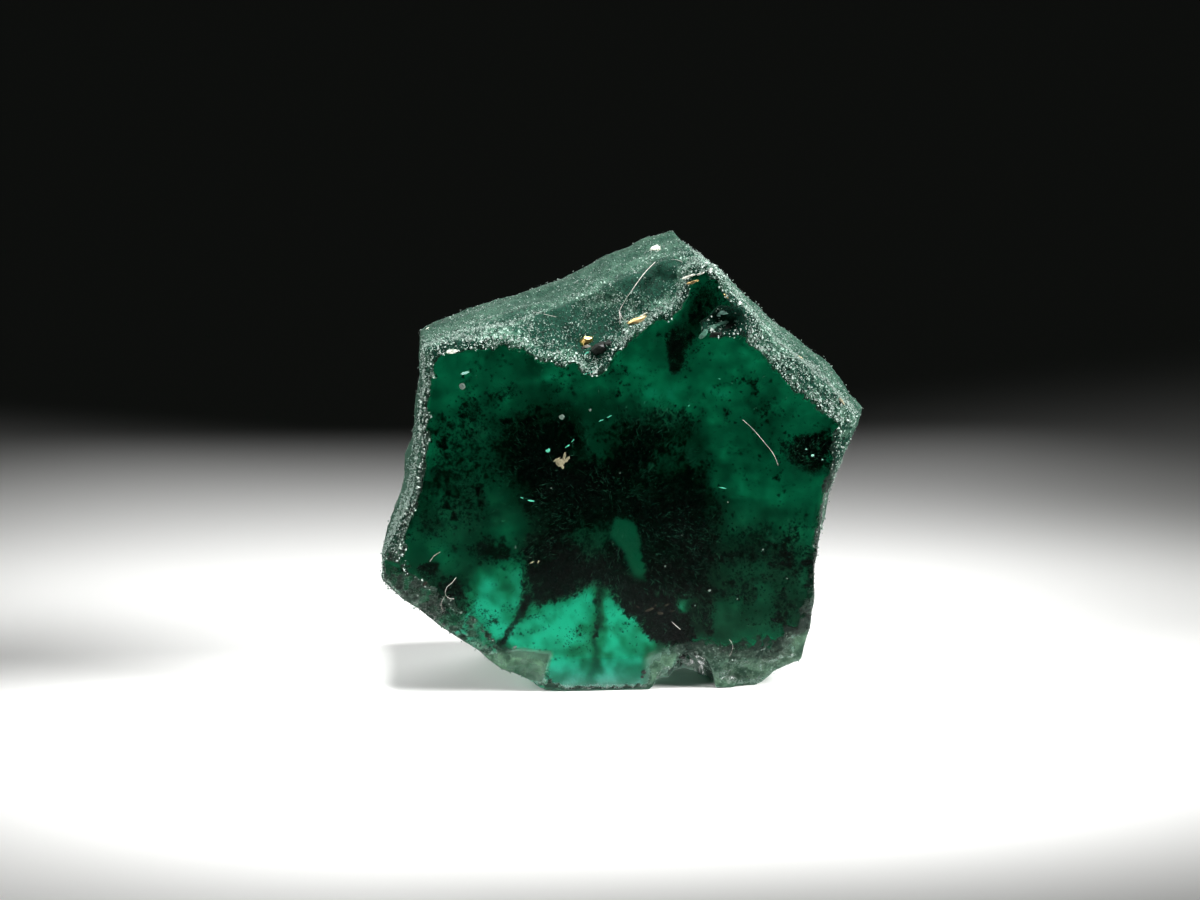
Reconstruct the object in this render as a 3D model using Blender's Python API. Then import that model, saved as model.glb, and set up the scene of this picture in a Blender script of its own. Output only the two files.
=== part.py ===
"""A rough trapiche emerald: one six-sided crystal slice with a flat front face and frosted prism sides.

The crystal stands on the lower edge of its prism, with its c-axis along Y and its polished-looking
front face towards -Y. Its origin is on the ground, under the middle of its bounding box.
"""

import math

import bmesh
import bpy
from mathutils import Vector, noise
from mathutils.geometry import delaunay_2d_cdt

MM = 0.001

# Driving dimensions, in millimetres
THICKNESS = 4.2
SIDE_SPACING = 0.29
FACE_SPACING = 0.42
DEPTH_ROWS = 12
RIM_SLOPE = 0.55
BACK_RIM = 0.22

RIM_RAGGED = 0.45
RIM_RAGGED_SIZE = 0.37

# Roughness of the surfaces: how far they move and how wide their bumps are, in millimetres
SIDE_ROUGH = 0.09
SIDE_BUMP_SIZE = 0.85
CRUMBLE_ROUGH = 0.13
CRUMBLE_BUMP_SIZE = 0.38
FRONT_WAVE = 0.018
FRONT_WAVE_SIZE = 1.9
BACK_ROUGH = 0.08
BACK_BUMP_SIZE = 1.3

# The back: how much it is crowned in the middle, and the low step that runs across it
BACK_INSET = 0.06
BACK_CROWN = 0.012
BACK_MIDDLE_Z = 4.0
BACK_STEP = 0.065
BACK_STEP_SHARPNESS = 3.0
BACK_STEP_Z = 3.6
BACK_STEP_TILT = 0.45

# Where the noise of the front and of the back is read, so that they differ
FRONT_NOISE_Y = 3.1
BACK_NOISE_Y = 9.7
FINE_BUMPS = 2.1
FINE_SHARE = 0.5
FINE_SHIFT = Vector((7.3, 1.9, 4.4))

# How far the triangles' corners on the two faces stray from an even grid, as a share of its spacing
FACE_STRAY = 0.28
FACE_STRAY_SCALE = 3.3
FACE_RIM_GAP = 0.45

# The prism's outline, clockwise from the upper left corner as seen from the front, in millimetres:
# x and z at the front face, x and z at the back face, and the width of the worn rim at the front
OUTLINE = [
    # upper left prism face
    (-3.95, 6.45, -3.83, 6.19, 0.18),
    (-3.30, 6.60, -3.45, 6.38, 0.16),
    (-2.40, 6.72, -2.70, 6.70, 0.16),
    (-1.70, 6.90, -1.90, 6.89, 0.34),
    (-0.90, 7.15, -1.13, 7.19, 0.40),
    (-0.10, 7.45, -0.36, 7.57, 0.22),
    (0.60, 7.75, 0.43, 7.93, 0.20),
    # top corner
    (1.20, 7.96, 1.00, 8.04, 0.12),
    (1.55, 7.70, 1.27, 7.78, 0.12),
    # upper right prism face
    (1.92, 7.22, 1.83, 7.41, 0.26),
    (2.32, 6.72, 2.38, 6.79, 0.34),
    (2.85, 6.22, 3.17, 6.15, 0.36),
    (3.42, 5.72, 3.97, 5.53, 0.38),
    # right corner
    (4.02, 5.04, 4.72, 4.60, 0.34),
    (3.95, 4.72, 4.62, 4.32, 0.26),
    # right side, which bends inwards
    (3.74, 4.30, 4.40, 3.95, 0.14),
    (3.50, 3.55, 4.05, 3.30, 0.10),
    (3.32, 2.80, 3.72, 2.60, 0.10),
    (3.27, 1.90, 3.58, 1.80, 0.12),
    (3.20, 1.10, 3.48, 1.00, 0.24),
    # lower right corner
    (3.08, 0.44, 3.34, 0.34, 0.42),
    (2.60, 0.22, 2.72, 0.04, 0.44),
    # foot, sliced off level at a height of 0
    (1.95, -0.20, 2.00, -0.24, 0.24),
    (1.00, -0.26, 1.00, -0.28, 0.12),
    (0.05, -0.26, 0.00, -0.28, 0.10),
    (-1.15, -0.22, -1.10, -0.26, 0.12),
    (-2.05, 0.16, -1.95, 0.02, 0.24),
    # lower left prism face
    (-2.75, 0.54, -2.60, 0.34, 0.30),
    (-3.45, 1.06, -3.35, 0.74, 0.46),
    (-4.08, 1.50, -4.00, 1.04, 0.52),
    # lower left corner
    (-4.70, 2.16, -4.60, 1.36, 0.46),
    (-4.66, 2.66, -4.64, 1.80, 0.30),
    # left side, which bends inwards
    (-4.38, 3.26, -4.54, 2.30, 0.16),
    (-4.14, 3.98, -4.28, 3.10, 0.12),
    (-3.97, 4.90, -4.02, 4.10, 0.10),
    (-3.93, 5.75, -3.90, 5.25, 0.12),
]

# Where chips were knocked out: middle (x, y, z) and radii (x, y, z) in millimetres
CHIPS = {
    "upper_edge_scoop": ((-1.20, -4.60, 8.30), (2.20, 4.40, 2.52)),
    "upper_edge_lobe": ((0.30, -3.90, 7.95), (0.74, 3.30, 1.12)),
    "upper_edge_notch": ((-0.80, -2.36, 6.40), (0.36, 0.56, 0.44)),
    "top_pocket": ((0.40, -1.35, 8.22), (0.42, 0.86, 0.60)),
    "corner_ledge": ((1.60, -2.30, 6.92), (0.42, 0.46, 0.28)),
    "foot_notch": ((1.00, -2.55, -0.08), (0.46, 1.90, 0.80)),
    "foot_notch_left": ((0.58, -2.55, -0.22), (0.40, 1.30, 0.66)),
    "lower_left_spall": ((-2.30, -2.75, 0.30), (1.00, 0.85, 0.62)),
    "lower_right_spall": ((2.25, -2.62, 0.18), (1.05, 0.75, 0.62)),
    "right_edge_nick": ((4.02, -2.30, 4.30), (0.34, 0.55, 0.30)),
    "left_edge_nick": ((-4.62, -2.35, 2.90), (0.26, 0.50, 0.30)),
    "back_top_scoop": ((2.60, 2.75, 6.80), (1.05, 1.10, 0.90)),
    "back_left_scoop": ((-4.10, 2.60, 3.60), (0.80, 0.95, 1.10)),
    "back_foot_scoop": ((-1.40, 2.65, 0.10), (0.95, 0.85, 0.55)),
}
CHIP_ROUGH = 0.20
CHIP_LUMP_SIZE = 0.62
CHIP_DETAIL = 3
# A chip with a radius over this is cut with a finer and smoother ball
WIDE_CHIP = 2.0
WIDE_CHIP_DETAIL = 5

CRUMBLY_CORNER = Vector((2.6, -1.9, 0.6))
CRUMBLY_REACH = 1.7


def clear_scene():
    for leftover in list(bpy.data.objects):
        bpy.data.objects.remove(leftover, do_unlink=True)


def walk_outline(rows, spacing):
    """Points at an even distance along the closed outline, each with all five of a row's values."""
    points = []
    for here, after in zip(rows, rows[1:] + rows[:1]):
        length = math.hypot(after[0] - here[0], after[1] - here[1])
        steps = max(1, round(length / spacing))
        for step in range(steps):
            share = step / steps
            points.append([a + (b - a) * share for a, b in zip(here, after)])
    return points


def inward(points, index):
    """The unit direction in the XZ plane from one outline point to the inside of the front face."""
    before, after = points[index - 1], points[(index + 1) % len(points)]
    along = Vector((after[0] - before[0], after[1] - before[1]))
    return Vector((along.y, -along.x)).normalized()


def bumps(place, size):
    """Smooth noise of about -1 to 1 whose bumps are size millimetres across, in two octaves."""
    fine = noise.noise(place * FINE_BUMPS / size + FINE_SHIFT)
    return noise.noise(place / size) + FINE_SHARE * fine


def weathered(place, outward):
    """A side point moved in or out by the etched, frosted surface, and more where it crumbles."""
    crumble = max(0.0, 1.0 - (place - CRUMBLY_CORNER).length / CRUMBLY_REACH)
    amount = SIDE_ROUGH * bumps(place, SIDE_BUMP_SIZE)
    amount += CRUMBLE_ROUGH * crumble * bumps(place, CRUMBLE_BUMP_SIZE)
    return place + outward * amount


def front_depth(x, z):
    return -THICKNESS / 2 + FRONT_WAVE * bumps(Vector((x, FRONT_NOISE_Y, z)), FRONT_WAVE_SIZE)


def back_depth(x, z):
    """The back is an uneven break, a little crowned, with one low step across it."""
    step = BACK_STEP * math.tanh(BACK_STEP_SHARPNESS * (z - BACK_STEP_Z - BACK_STEP_TILT * x))
    crown = -BACK_CROWN * (x * x + (z - BACK_MIDDLE_Z) ** 2)
    rough = BACK_ROUGH * bumps(Vector((x, BACK_NOISE_Y, z)), BACK_BUMP_SIZE)
    return THICKNESS / 2 - BACK_INSET + crown + step + rough


def side_rings(points):
    """The prism's rings from the front face's rim to the back face's rim, as lists of places."""
    inner_front, inner_back, rings = [], [], []
    depths = [(row + 1) / DEPTH_ROWS for row in range(DEPTH_ROWS - 1)]
    for index, (front_x, front_z, back_x, back_z, rim) in enumerate(points):
        aim = inward(points, index)
        ragged = 1.0 + RIM_RAGGED * noise.noise(Vector((front_x, 0.0, front_z)) / RIM_RAGGED_SIZE)
        x, z = front_x + aim.x * rim * ragged, front_z + aim.y * rim * ragged
        inner_front.append(Vector((x, front_depth(x, z), z)))
        x, z = back_x + aim.x * BACK_RIM, back_z + aim.y * BACK_RIM
        inner_back.append(Vector((x, back_depth(x, z), z)))
    for share in [0.0] + depths + [1.0]:
        ring = []
        for index, (front_x, front_z, back_x, back_z, rim) in enumerate(points):
            aim = inward(points, index)
            start = -THICKNESS / 2 + rim * RIM_SLOPE
            end = back_depth(back_x, back_z) - BACK_RIM * RIM_SLOPE
            place = Vector(
                (
                    front_x + (back_x - front_x) * share,
                    start + (end - start) * share,
                    front_z + (back_z - front_z) * share,
                )
            )
            ring.append(weathered(place, Vector((-aim.x, 0.0, -aim.y))))
        rings.append(ring)
    return [inner_front] + rings + [inner_back]


def face_places(rim, depth_at, spacing):
    """Places spread evenly inside a rim, and the triangles that join them to it."""
    flat_rim = [Vector((p.x, p.z)) for p in rim]
    low_x, high_x = min(p.x for p in flat_rim), max(p.x for p in flat_rim)
    low_z, high_z = min(p.y for p in flat_rim), max(p.y for p in flat_rim)
    row_gap = spacing * math.sqrt(3) / 2
    inside = []
    for row in range(int((high_z - low_z) / row_gap) + 1):
        for column in range(int((high_x - low_x) / spacing) + 2):
            x = low_x + (column + 0.5 * (row % 2)) * spacing
            z = low_z + row * row_gap
            start = Vector((x, 0.0, z)) * FACE_STRAY_SCALE
            stray = Vector((noise.noise(start), noise.noise(start + FINE_SHIFT)))
            spot = Vector((x, z)) + stray * spacing * FACE_STRAY
            if encloses(flat_rim, spot) and rim_distance(flat_rim, spot) > spacing * FACE_RIM_GAP:
                inside.append(spot)
    loop = list(range(len(flat_rim)))
    spots, _, triangles, *_ = delaunay_2d_cdt(flat_rim + inside, [], [loop], 1, 1e-6)
    places = list(rim) + [Vector((s.x, depth_at(s.x, s.y), s.y)) for s in spots[len(rim):]]
    return places, triangles


def encloses(loop, spot):
    crossings = 0
    for a, b in zip(loop, loop[1:] + loop[:1]):
        if (a.y > spot.y) != (b.y > spot.y):
            if spot.x < a.x + (spot.y - a.y) * (b.x - a.x) / (b.y - a.y):
                crossings += 1
    return crossings % 2 == 1


def rim_distance(loop, spot):
    nearest = math.inf
    for a, b in zip(loop, loop[1:] + loop[:1]):
        edge = b - a
        share = max(0.0, min(1.0, (spot - a).dot(edge) / edge.length_squared))
        nearest = min(nearest, (a + edge * share - spot).length)
    return nearest


def crystal_body():
    """The whole prism before it is chipped, as one closed mesh standing on a flat foot."""
    points = walk_outline(OUTLINE, SIDE_SPACING)
    rings = side_rings(points)
    body = bmesh.new()
    rows = [[body.verts.new(place) for place in ring] for ring in rings]
    for near, far in zip(rows, rows[1:]):
        for index in range(len(near)):
            after = (index + 1) % len(near)
            body.faces.new((near[index], near[after], far[after], far[index]))
    for row, depth_at in ((rows[0], front_depth), (rows[-1], back_depth)):
        places, triangles = face_places([v.co.copy() for v in row], depth_at, FACE_SPACING)
        corners = row + [body.verts.new(place) for place in places[len(row):]]
        for triangle in triangles:
            body.faces.new([corners[corner] for corner in triangle])
    cut_foot(body)
    bmesh.ops.triangulate(body, faces=body.faces)
    bmesh.ops.recalc_face_normals(body, faces=body.faces)
    return body


def cut_foot(body):
    """Slices the crystal off level, so that it stands on a real flat facet."""
    geometry = body.verts[:] + body.edges[:] + body.faces[:]
    bmesh.ops.bisect_plane(
        body, geom=geometry, dist=1e-4, plane_co=(0, 0, 0), plane_no=(0, 0, 1), clear_inner=True
    )
    open_edges = [edge for edge in body.edges if edge.is_boundary]
    bmesh.ops.edgeloop_fill(body, edges=open_edges)


def stand_on_origin(body):
    """Puts the middle of the bounding box over the origin and the foot on the ground, in metres."""
    lows = [min(v.co[axis] for v in body.verts) for axis in range(3)]
    highs = [max(v.co[axis] for v in body.verts) for axis in range(3)]
    shift = Vector((-(lows[0] + highs[0]) / 2, -(lows[1] + highs[1]) / 2, -lows[2]))
    for vertex in body.verts:
        vertex.co = (vertex.co + shift) * MM


def emerald_material():
    material = bpy.data.materials.new("deep_green_emerald")
    material.use_nodes = True
    shader = material.node_tree.nodes["Principled BSDF"]
    shader.inputs["Base Color"].default_value = (0.006, 0.10, 0.055, 1.0)
    shader.inputs["Roughness"].default_value = 0.25
    shader.inputs["Metallic"].default_value = 0.0
    return material


def make_chip_cutter(name, middle, radii):
    """A lumpy ball whose surface is the hollow that a chip leaves."""
    wide = max(radii) > WIDE_CHIP
    ball = bmesh.new()
    bmesh.ops.create_icosphere(ball, subdivisions=WIDE_CHIP_DETAIL if wide else CHIP_DETAIL, radius=1.0)
    smoother = max(radii) if wide else 1.0
    for vertex in ball.verts:
        lump = 1.0 + CHIP_ROUGH / smoother * bumps(vertex.co + Vector(middle), CHIP_LUMP_SIZE / smoother)
        stretched = Vector([vertex.co[axis] * radii[axis] * lump for axis in range(3)])
        vertex.co = (Vector(middle) + stretched) * MM
    mesh = bpy.data.meshes.new(name)
    ball.to_mesh(mesh)
    ball.free()
    cutter = bpy.data.objects.new(name, mesh)
    bpy.context.scene.collection.objects.link(cutter)
    cutter.hide_render = True
    cutter.display_type = "WIRE"
    return cutter


def make_crystal():
    body = crystal_body()
    stand_on_origin(body)
    mesh = bpy.data.meshes.new("emerald_crystal")
    body.to_mesh(mesh)
    body.free()
    mesh.materials.append(emerald_material())
    crystal = bpy.data.objects.new("emerald_crystal", mesh)
    bpy.context.scene.collection.objects.link(crystal)
    for name, (middle, radii) in CHIPS.items():
        hollow = crystal.modifiers.new(name, "BOOLEAN")
        hollow.operation = "DIFFERENCE"
        hollow.object = make_chip_cutter(name, middle, radii)
    return crystal


clear_scene()
make_crystal()
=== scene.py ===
import math

import bmesh
import bpy
import numpy as np
from mathutils import Matrix, Vector, kdtree, noise
from mathutils.bvhtree import BVHTree


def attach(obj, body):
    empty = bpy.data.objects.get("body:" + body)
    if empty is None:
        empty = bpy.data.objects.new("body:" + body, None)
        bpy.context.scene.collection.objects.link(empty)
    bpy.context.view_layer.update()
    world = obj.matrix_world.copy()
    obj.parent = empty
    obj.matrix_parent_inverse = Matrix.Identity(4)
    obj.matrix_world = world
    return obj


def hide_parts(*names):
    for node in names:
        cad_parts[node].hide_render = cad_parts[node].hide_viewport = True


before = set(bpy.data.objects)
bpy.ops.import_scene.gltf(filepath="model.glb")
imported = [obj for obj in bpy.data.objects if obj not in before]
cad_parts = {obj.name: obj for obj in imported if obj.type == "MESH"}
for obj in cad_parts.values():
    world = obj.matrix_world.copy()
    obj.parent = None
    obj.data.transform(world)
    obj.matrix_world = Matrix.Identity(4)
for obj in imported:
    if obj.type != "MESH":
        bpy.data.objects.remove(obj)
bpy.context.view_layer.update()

MM = 0.001

# Camera, in millimetres: the photograph's view of the front face, from a little above and to the left
CAMERA_PLACE = Vector((-6.48, -67.91, 17.39))
CAMERA_AIM = Vector((-0.535, 0.0, 4.14))
CAMERA_LENS = 110
CAMERA_SENSOR = 36
CAMERA_NEAR = 1
CAMERA_FAR = 2000
# How the camera's line of sight runs inside the stone: millimetres across and up for each one of depth
SIGHT_X = -0.0595
SIGHT_Z = 0.1217

# Studio, in millimetres: soft lights by name, place, aim, size, power in watts and spread in degrees
SOFT_LIGHTS = [
    ("overhead_softbox", (-1.5, -2, 24), (-1, -4.5, 0), (11, 10), 0.00118, 40),
    ("left_fill", (-28, -9, 20), (0, -1, 4), (20, 18), 0.0011, 40),
    ("right_fill", (28, -6, 20), (0, -1, 4), (20, 18), 0.0034, 40),
    ("rear_softbox", (0, 28, 13), (-0.5, 2, 3), (26, 14), 0.0008, 60),
    ("foot_glow", (-1.0, 0.1, -0.008), (-1.0, 0.1, 1), (4.4, 3.6), 0.00010, 180),
]
ROOM_LIGHT = (0.0045, 0.005, 0.0045)
FLOOR_PALE = (0.92, 0.92, 0.90)
FLOOR_RADIUS = 400
FLOOR_Z = -0.015
CARD_GREY = (0.05, 0.05, 0.05)
CARD_PLACE = (0, -122.4, 0.01)
# From the card's middle to its edge
CARD_REACH = 120

# Fractal noise: how fast it weakens and how much finer it gets with each octave
NOISE_FADE = 0.8
NOISE_STEP = 2.1

# Crystal skin, in millimetres
FRONT_Y = -2.1
SKIN_CELL = 0.052
MERGE_GAP = 0.0001
FROST_SWELL = 0.026
FROST_GRAIN = 0.011
RIM_CRUMBLE = 0.022
RIM_CRUMBLE_REACH = 0.12
# Gloss from which the skin counts as the clean face
CLEAN_GLOSS = 0.6
# The flat face: how squarely its skin faces the front, how far back it may lie, its layer of the noise
FACE_FACING = 0.93
FACE_DEPTH = 0.16
FACE_NOISE_Y = 4.4
# The chipped front edges: how squarely they face the front, how far back they reach, how mottled they are
CHIP_FACING = 0.35
CHIP_BACK_Y = -0.6
CHIP_MOTTLE = 0.22
# Marks on the skin: how squarely it has to face their way, and over how much more they fade in
FRONT_FACING = (0.7, 0.2)
HAZE_FACING = (0.3, 0.2)
CHIP_MARK_FACING = (0.15, 0.2)
BACK_FACING = (0.35, 0.3)
SIDE_FACING = (0.6, 0.2)
FOOT_FACING = (0.5, 0.2)
# Height up to which the skin is the foot, and over which that fades out
FOOT_TOP = 0.3
FOOT_FADE = 0.2

# Optics of the green beryl
BERYL_IOR = 1.58
BERYL_SHEEN = 0.04
GREEN_PASS = (0.0, 0.82, 0.70, 1.0)
GREEN_DEPTH = 1200.0
FACE_ROUGH = 0.13
FROST_ROUGH = 0.80

# The etched skin: grains per millimetre, how they stretch with depth, height and strength of its bumps,
# where its far part starts and ends, and how far back the foot's light reaches
GRAIN_CELLS = 30.0
FROST_STRETCH = (1.0, 0.34, 1.0)
BUMP_HEIGHT = 0.035
BUMP_STRENGTH = 0.7
FAR_STARTS_Y = -1.6
FAR_ENDS_Y = 0.8
FOOT_LIT_Y = 1.3
# Its colours, from dark to pale; the two glint colours are painted highlights
PIT_GREEN = (0.003, 0.014, 0.009)
DEEP_FROST = (0.001, 0.028, 0.016)
FAR_FROST = (0.027, 0.066, 0.046)
GREY_FROST = (0.038, 0.088, 0.060)
DIM_GLINT = (0.085, 0.15, 0.115)
BRIGHT_GLINT = (0.30, 0.41, 0.355)
# Colours of the thin frost on the front, with a painted glint colour
SPECK_BLACK = (0.003, 0.010, 0.006)
DARK_VEIL = (0.003, 0.030, 0.017)
GREY_VEIL = (0.085, 0.175, 0.125)
HAZE_GREEN = (0.105, 0.215, 0.130)
VEIL_GLINT = (0.26, 0.36, 0.31)
# Tint of the clean front, and of the haze on it
CLEAR_BERYL = (0.97, 1.0, 0.98)
HAZY_BERYL = (0.26, 0.46, 0.37)
DARK_FILM = (0.030, 0.070, 0.045)
PALE_FILM = (0.070, 0.135, 0.095)
# Tint of the skin seen through the stone, where no light, a little and all of it comes through; its map is
# partly painted light and shade
SHUT_WINDOW = (0.0004, 0.0015, 0.0008)
HALF_WINDOW = (0.10, 0.25, 0.15)
HALF_WINDOW_AT = 0.25
OPEN_WINDOW = (0.85, 1.0, 0.97)
# Tint of the foot near the front
FOOT_GREEN = (0.09, 0.26, 0.18)

# Flakes, on a size of 1: radius and height of the three-sided cone, its least and greatest stretch
FLAKE_RADIUS = 0.6
FLAKE_HEIGHT = 0.9
FLAKE_LEAST_X = 0.75
FLAKE_LEAST_Y = 0.6
FLAKE_GREATEST = (1.35, 1.1, 0.9)
# How far flakes stray from their place on the skin, and the height above which they lie, in millimetres
SCATTER_STRAY = 0.03
SCATTER_FLOOR = 0.10

# Pale crumbs along the rim of the glossy face: how far back they go, how fast they thin out, share, sizes
CRUMB_REACH = 0.2
CRUMB_SPREAD = 0.13
CRUMB_SHARE = 3.2
CRUMB_SMALL = 0.020
CRUMB_LARGE = 0.075
CRUMB_FLATNESS = 0.6
PALE_FROST = (0.38, 0.47, 0.42)
# Left of this the rim has more crumbs
CRUMB_LEFT = -3.4

# Fine grains on the frosted skin: share of the skin's points, how fast they thin out with depth, sizes
GRAIN_SHARE = 2.4
GRAINS_AT_MOST = 3
GRAIN_SPREAD = 1.1
GRAIN_SMALL = 0.014
GRAIN_LARGE = 0.040
BRIGHT_FROST = (0.28, 0.375, 0.325)

# How wide the frosted rim of the front face is, how soft, how ragged and how much it wanders
RIM_WIDTH = 0.04
RIM_FADE = 0.08
RIM_RAGGED = 0.07
RIM_WANDER = 0.9
# Its width in zones of the front view: soft edge, width, corners as x and z
RIM_ZONES = [
    (0.25, 0.07, [(-4.1, 6.7), (-0.9, 7.2), (-0.5, 6.0), (-4.1, 6.1)]),
    (0.20, 0.10, [(1.9, 7.2), (4.2, 5.0), (3.4, 4.9), (1.7, 6.6)]),
    (0.25, 0.10, [(3.3, 4.9), (4.2, 5.0), (3.9, 3.9), (3.4, 4.1)]),
    (0.25, 0.12, [(-4.9, 2.9), (-4.2, 2.9), (-3.0, 1.3), (-2.3, 0.5), (-2.6, 0.0), (-4.9, 1.4)]),
    (0.20, 0.20, [(0.3, 0.9), (1.2, 0.9), (1.3, -0.2), (0.2, -0.2)]),
    (0.25, 0.30, [(1.2, 1.0), (3.5, 1.1), (3.4, -0.2), (1.1, -0.2)]),
    (0.25, 0.02, [(3.0, 4.2), (3.9, 4.2), (3.6, 1.0), (3.0, 1.0)]),
]
# Where the chipped front edges are only thinly frosted: soft edge, how clear they are, corners
THIN_FROST = [
    (0.25, 0.56, [(-5.2, 2.7), (-4.1, 2.7), (-3.0, 1.6), (-1.7, 0.9), (-1.6, -0.3), (-5.2, -0.3)]),
    (0.20, 0.46, [(0.3, 1.1), (3.7, 1.4), (3.7, -0.3), (0.3, -0.3)]),
    (0.25, 0.50, [(3.0, 4.1), (4.0, 4.1), (3.7, 1.0), (2.9, 1.0)]),
]
# Where the front's rim is frosted as pale as the top: corners
PALE_RIM = [(-4.6, 8.6), (4.8, 8.6), (4.8, 4.2), (3.7, 4.2), (3.3, 5.0), (1.8, 6.1), (-4.6, 5.9)]
PALE_RIM_SOFT = 0.15

# Light that comes through the back: the power that it is raised to, and its share outside the zones
LIGHT_POWER = 3
PLAIN_LIGHT = 0.45
# Middle of the dark core on the front view, and how long and wide the streaks are that fan out from it
CORE_X = -0.5
CORE_Z = 3.6
FAN_STRETCH = 0.35
FAN_SPREAD = 2.2
# How far noise bends the zones of light, in millimetres, and how much it varies them
CLOUD_SHIFT = 0.18
WISP_SHIFT = 0.14
FEATHER_SHIFT_X = 0.10
FEATHER_SHIFT_Z = 0.08
CLOUD_SHARE = 0.35
WISP_SHARE = 0.45
FEATHER_SHARE = 0.35
# How much light the back lets through, in zones drawn on the front view. Partly painted light and shade:
# dim over the upper sectors and bright over the foot; dark behind the carbon core and arms. Soft edge in
# millimetres, share of light, corners as x and z
BACK_LIGHTS = [
    # upper left sector, with a brighter streak that is a painted glint
    (0.35, 0.455, [
        (-3.8, 6.2), (-3.2, 6.5), (-2.4, 6.6), (-1.5, 6.35), (-1.0, 6.1), (-1.2, 5.8), (-2.1, 5.8),
        (-3.0, 5.8), (-3.8, 5.6),
    ]),
    (0.14, 0.64, [(-2.1, 5.85), (-1.6, 6.1), (-1.1, 6.0), (-1.2, 5.88), (-1.7, 5.85)]),
    (0.06, 0.85, [(-1.98, 5.86), (-1.75, 6.0), (-1.62, 6.0), (-1.7, 5.92), (-1.9, 5.84)]),
    # left side
    (0.35, 0.36, [(-3.95, 5.6), (-3.0, 5.2), (-2.8, 4.4), (-3.1, 3.9), (-4.2, 3.9)]),
    (0.35, 0.24, [(-4.2, 4.0), (-2.4, 4.0), (-2.2, 2.8), (-2.8, 2.4), (-4.4, 2.4)]),
    (0.22, 0.44, [(-2.75, 3.75), (-2.45, 3.75), (-2.15, 2.9), (-2.3, 2.6), (-2.7, 2.8)]),
    (0.22, 0.38, [(-3.9, 3.9), (-3.5, 3.9), (-3.4, 3.2), (-3.9, 3.2)]),
    (0.22, 0.40, [(-4.1, 3.0), (-3.5, 3.0), (-3.5, 2.5), (-4.1, 2.5)]),
    (0.30, 0.26, [(-4.1, 2.3), (-3.1, 2.4), (-3.2, 1.6), (-3.8, 1.5)]),
    # top, and under the broken corner
    (0.30, 0.44, [(-0.9, 6.1), (-0.3, 6.6), (0.5, 6.7), (0.4, 5.8), (-0.3, 5.4), (-0.9, 5.5)]),
    (0.20, 0.54, [(-0.4, 6.35), (0.1, 6.4), (0.15, 6.0), (-0.35, 5.95)]),
    (0.25, 0.20, [(0.8, 6.7), (1.0, 7.8), (1.5, 7.7), (1.8, 7.1), (1.2, 6.6)]),
    (0.25, 0.52, [(1.2, 6.5), (2.0, 6.6), (2.4, 6.1), (2.1, 5.9), (1.2, 6.0)]),
    (0.35, 0.48, [(0.3, 6.0), (2.2, 6.1), (2.4, 5.5), (1.3, 5.2), (0.4, 5.4)]),
    # right sector
    (0.35, 0.495, [(1.1, 5.2), (2.0, 5.7), (3.2, 5.7), (3.7, 5.1), (2.7, 4.7), (2.4, 4.3), (1.3, 4.2)]),
    (0.22, 0.475, [
        (1.6, 4.1), (2.0, 4.5), (2.6, 4.5), (2.9, 4.0), (3.5, 3.9), (3.5, 3.4), (2.8, 3.4), (1.8, 3.6),
    ]),
    # lower right
    (0.35, 0.22, [(1.4, 3.2), (3.3, 3.2), (3.3, 0.9), (1.3, 1.0)]),
    (0.20, 0.38, [(2.8, 3.2), (3.3, 3.2), (3.2, 2.7), (2.8, 2.7)]),
    (0.20, 0.30, [(1.5, 2.3), (2.5, 2.3), (2.5, 1.7), (1.6, 1.6)]),
    (0.14, 0.50, [(1.5, 1.5), (1.9, 1.5), (1.8, 1.1), (1.5, 1.1)]),
    # dark core, with its faint windows
    (0.45, 0.14, [
        (-2.2, 2.3), (-2.0, 1.8), (0.5, 1.6), (1.5, 1.5), (1.65, 2.4), (1.8, 3.4), (1.4, 4.2), (1.1, 5.1),
        (-0.2, 5.4), (-1.3, 5.5), (-2.2, 5.4), (-2.9, 4.9), (-2.85, 4.2), (-2.5, 3.7), (-2.3, 3.3),
    ]),
    (0.25, 0.27, [(-1.1, 5.2), (-0.5, 5.3), (-0.4, 4.7), (-0.7, 4.4), (-1.1, 4.5)]),
    (0.25, 0.27, [(0.1, 4.2), (0.5, 4.7), (1.2, 4.8), (1.1, 4.2), (0.5, 4.0)]),
    (0.20, 0.27, [(-1.3, 2.9), (-0.8, 3.1), (-0.5, 3.0), (-0.6, 2.6), (-0.9, 2.4)]),
    (0.12, 0.14, [(1.1, 2.9), (1.6, 2.8), (1.6, 2.5), (1.2, 2.5)]),
    (0.15, 0.05, [(0.1, 1.7), (1.2, 1.7), (1.3, 0.9), (0.4, 0.7)]),
    (0.08, 0.55, [(0.76, 1.60), (1.02, 1.66), (1.0, 1.42), (0.8, 1.36)]),
    # bright patches over the foot: painted light, as if lit from below
    (0.22, 0.72, [
        (-3.3, 1.9), (-2.8, 2.3), (-2.1, 2.3), (-2.15, 1.6), (-2.6, 0.9), (-3.1, 0.8), (-3.2, 1.2),
    ]),
    (0.15, 0.86, [(-2.65, 1.2), (-2.35, 1.35), (-2.2, 0.9), (-2.5, 0.75)]),
    (0.12, 0.88, [
        (-2.6, 0.9), (-2.05, 1.6), (-1.5, 1.6), (-0.95, 2.0), (-0.6, 1.9), (0.0, 1.3), (0.3, 0.8),
        (0.2, 0.1), (-1.8, 0.1),
    ]),
    (0.24, 1.06, [(-1.9, 1.1), (-1.75, 1.5), (-1.3, 1.55), (-1.15, 1.2), (-1.4, 0.95)]),
    (0.20, 1.06, [(-0.65, 1.65), (-0.3, 1.35), (-0.22, 1.0), (-0.5, 0.8), (-0.7, 1.1)]),
    # thin arm between them
    (0.10, 0.16, [(-0.90, 2.1), (-0.66, 2.0), (-0.74, 1.2), (-0.88, 0.0), (-1.02, 0.0), (-0.90, 1.2)]),
]
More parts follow.
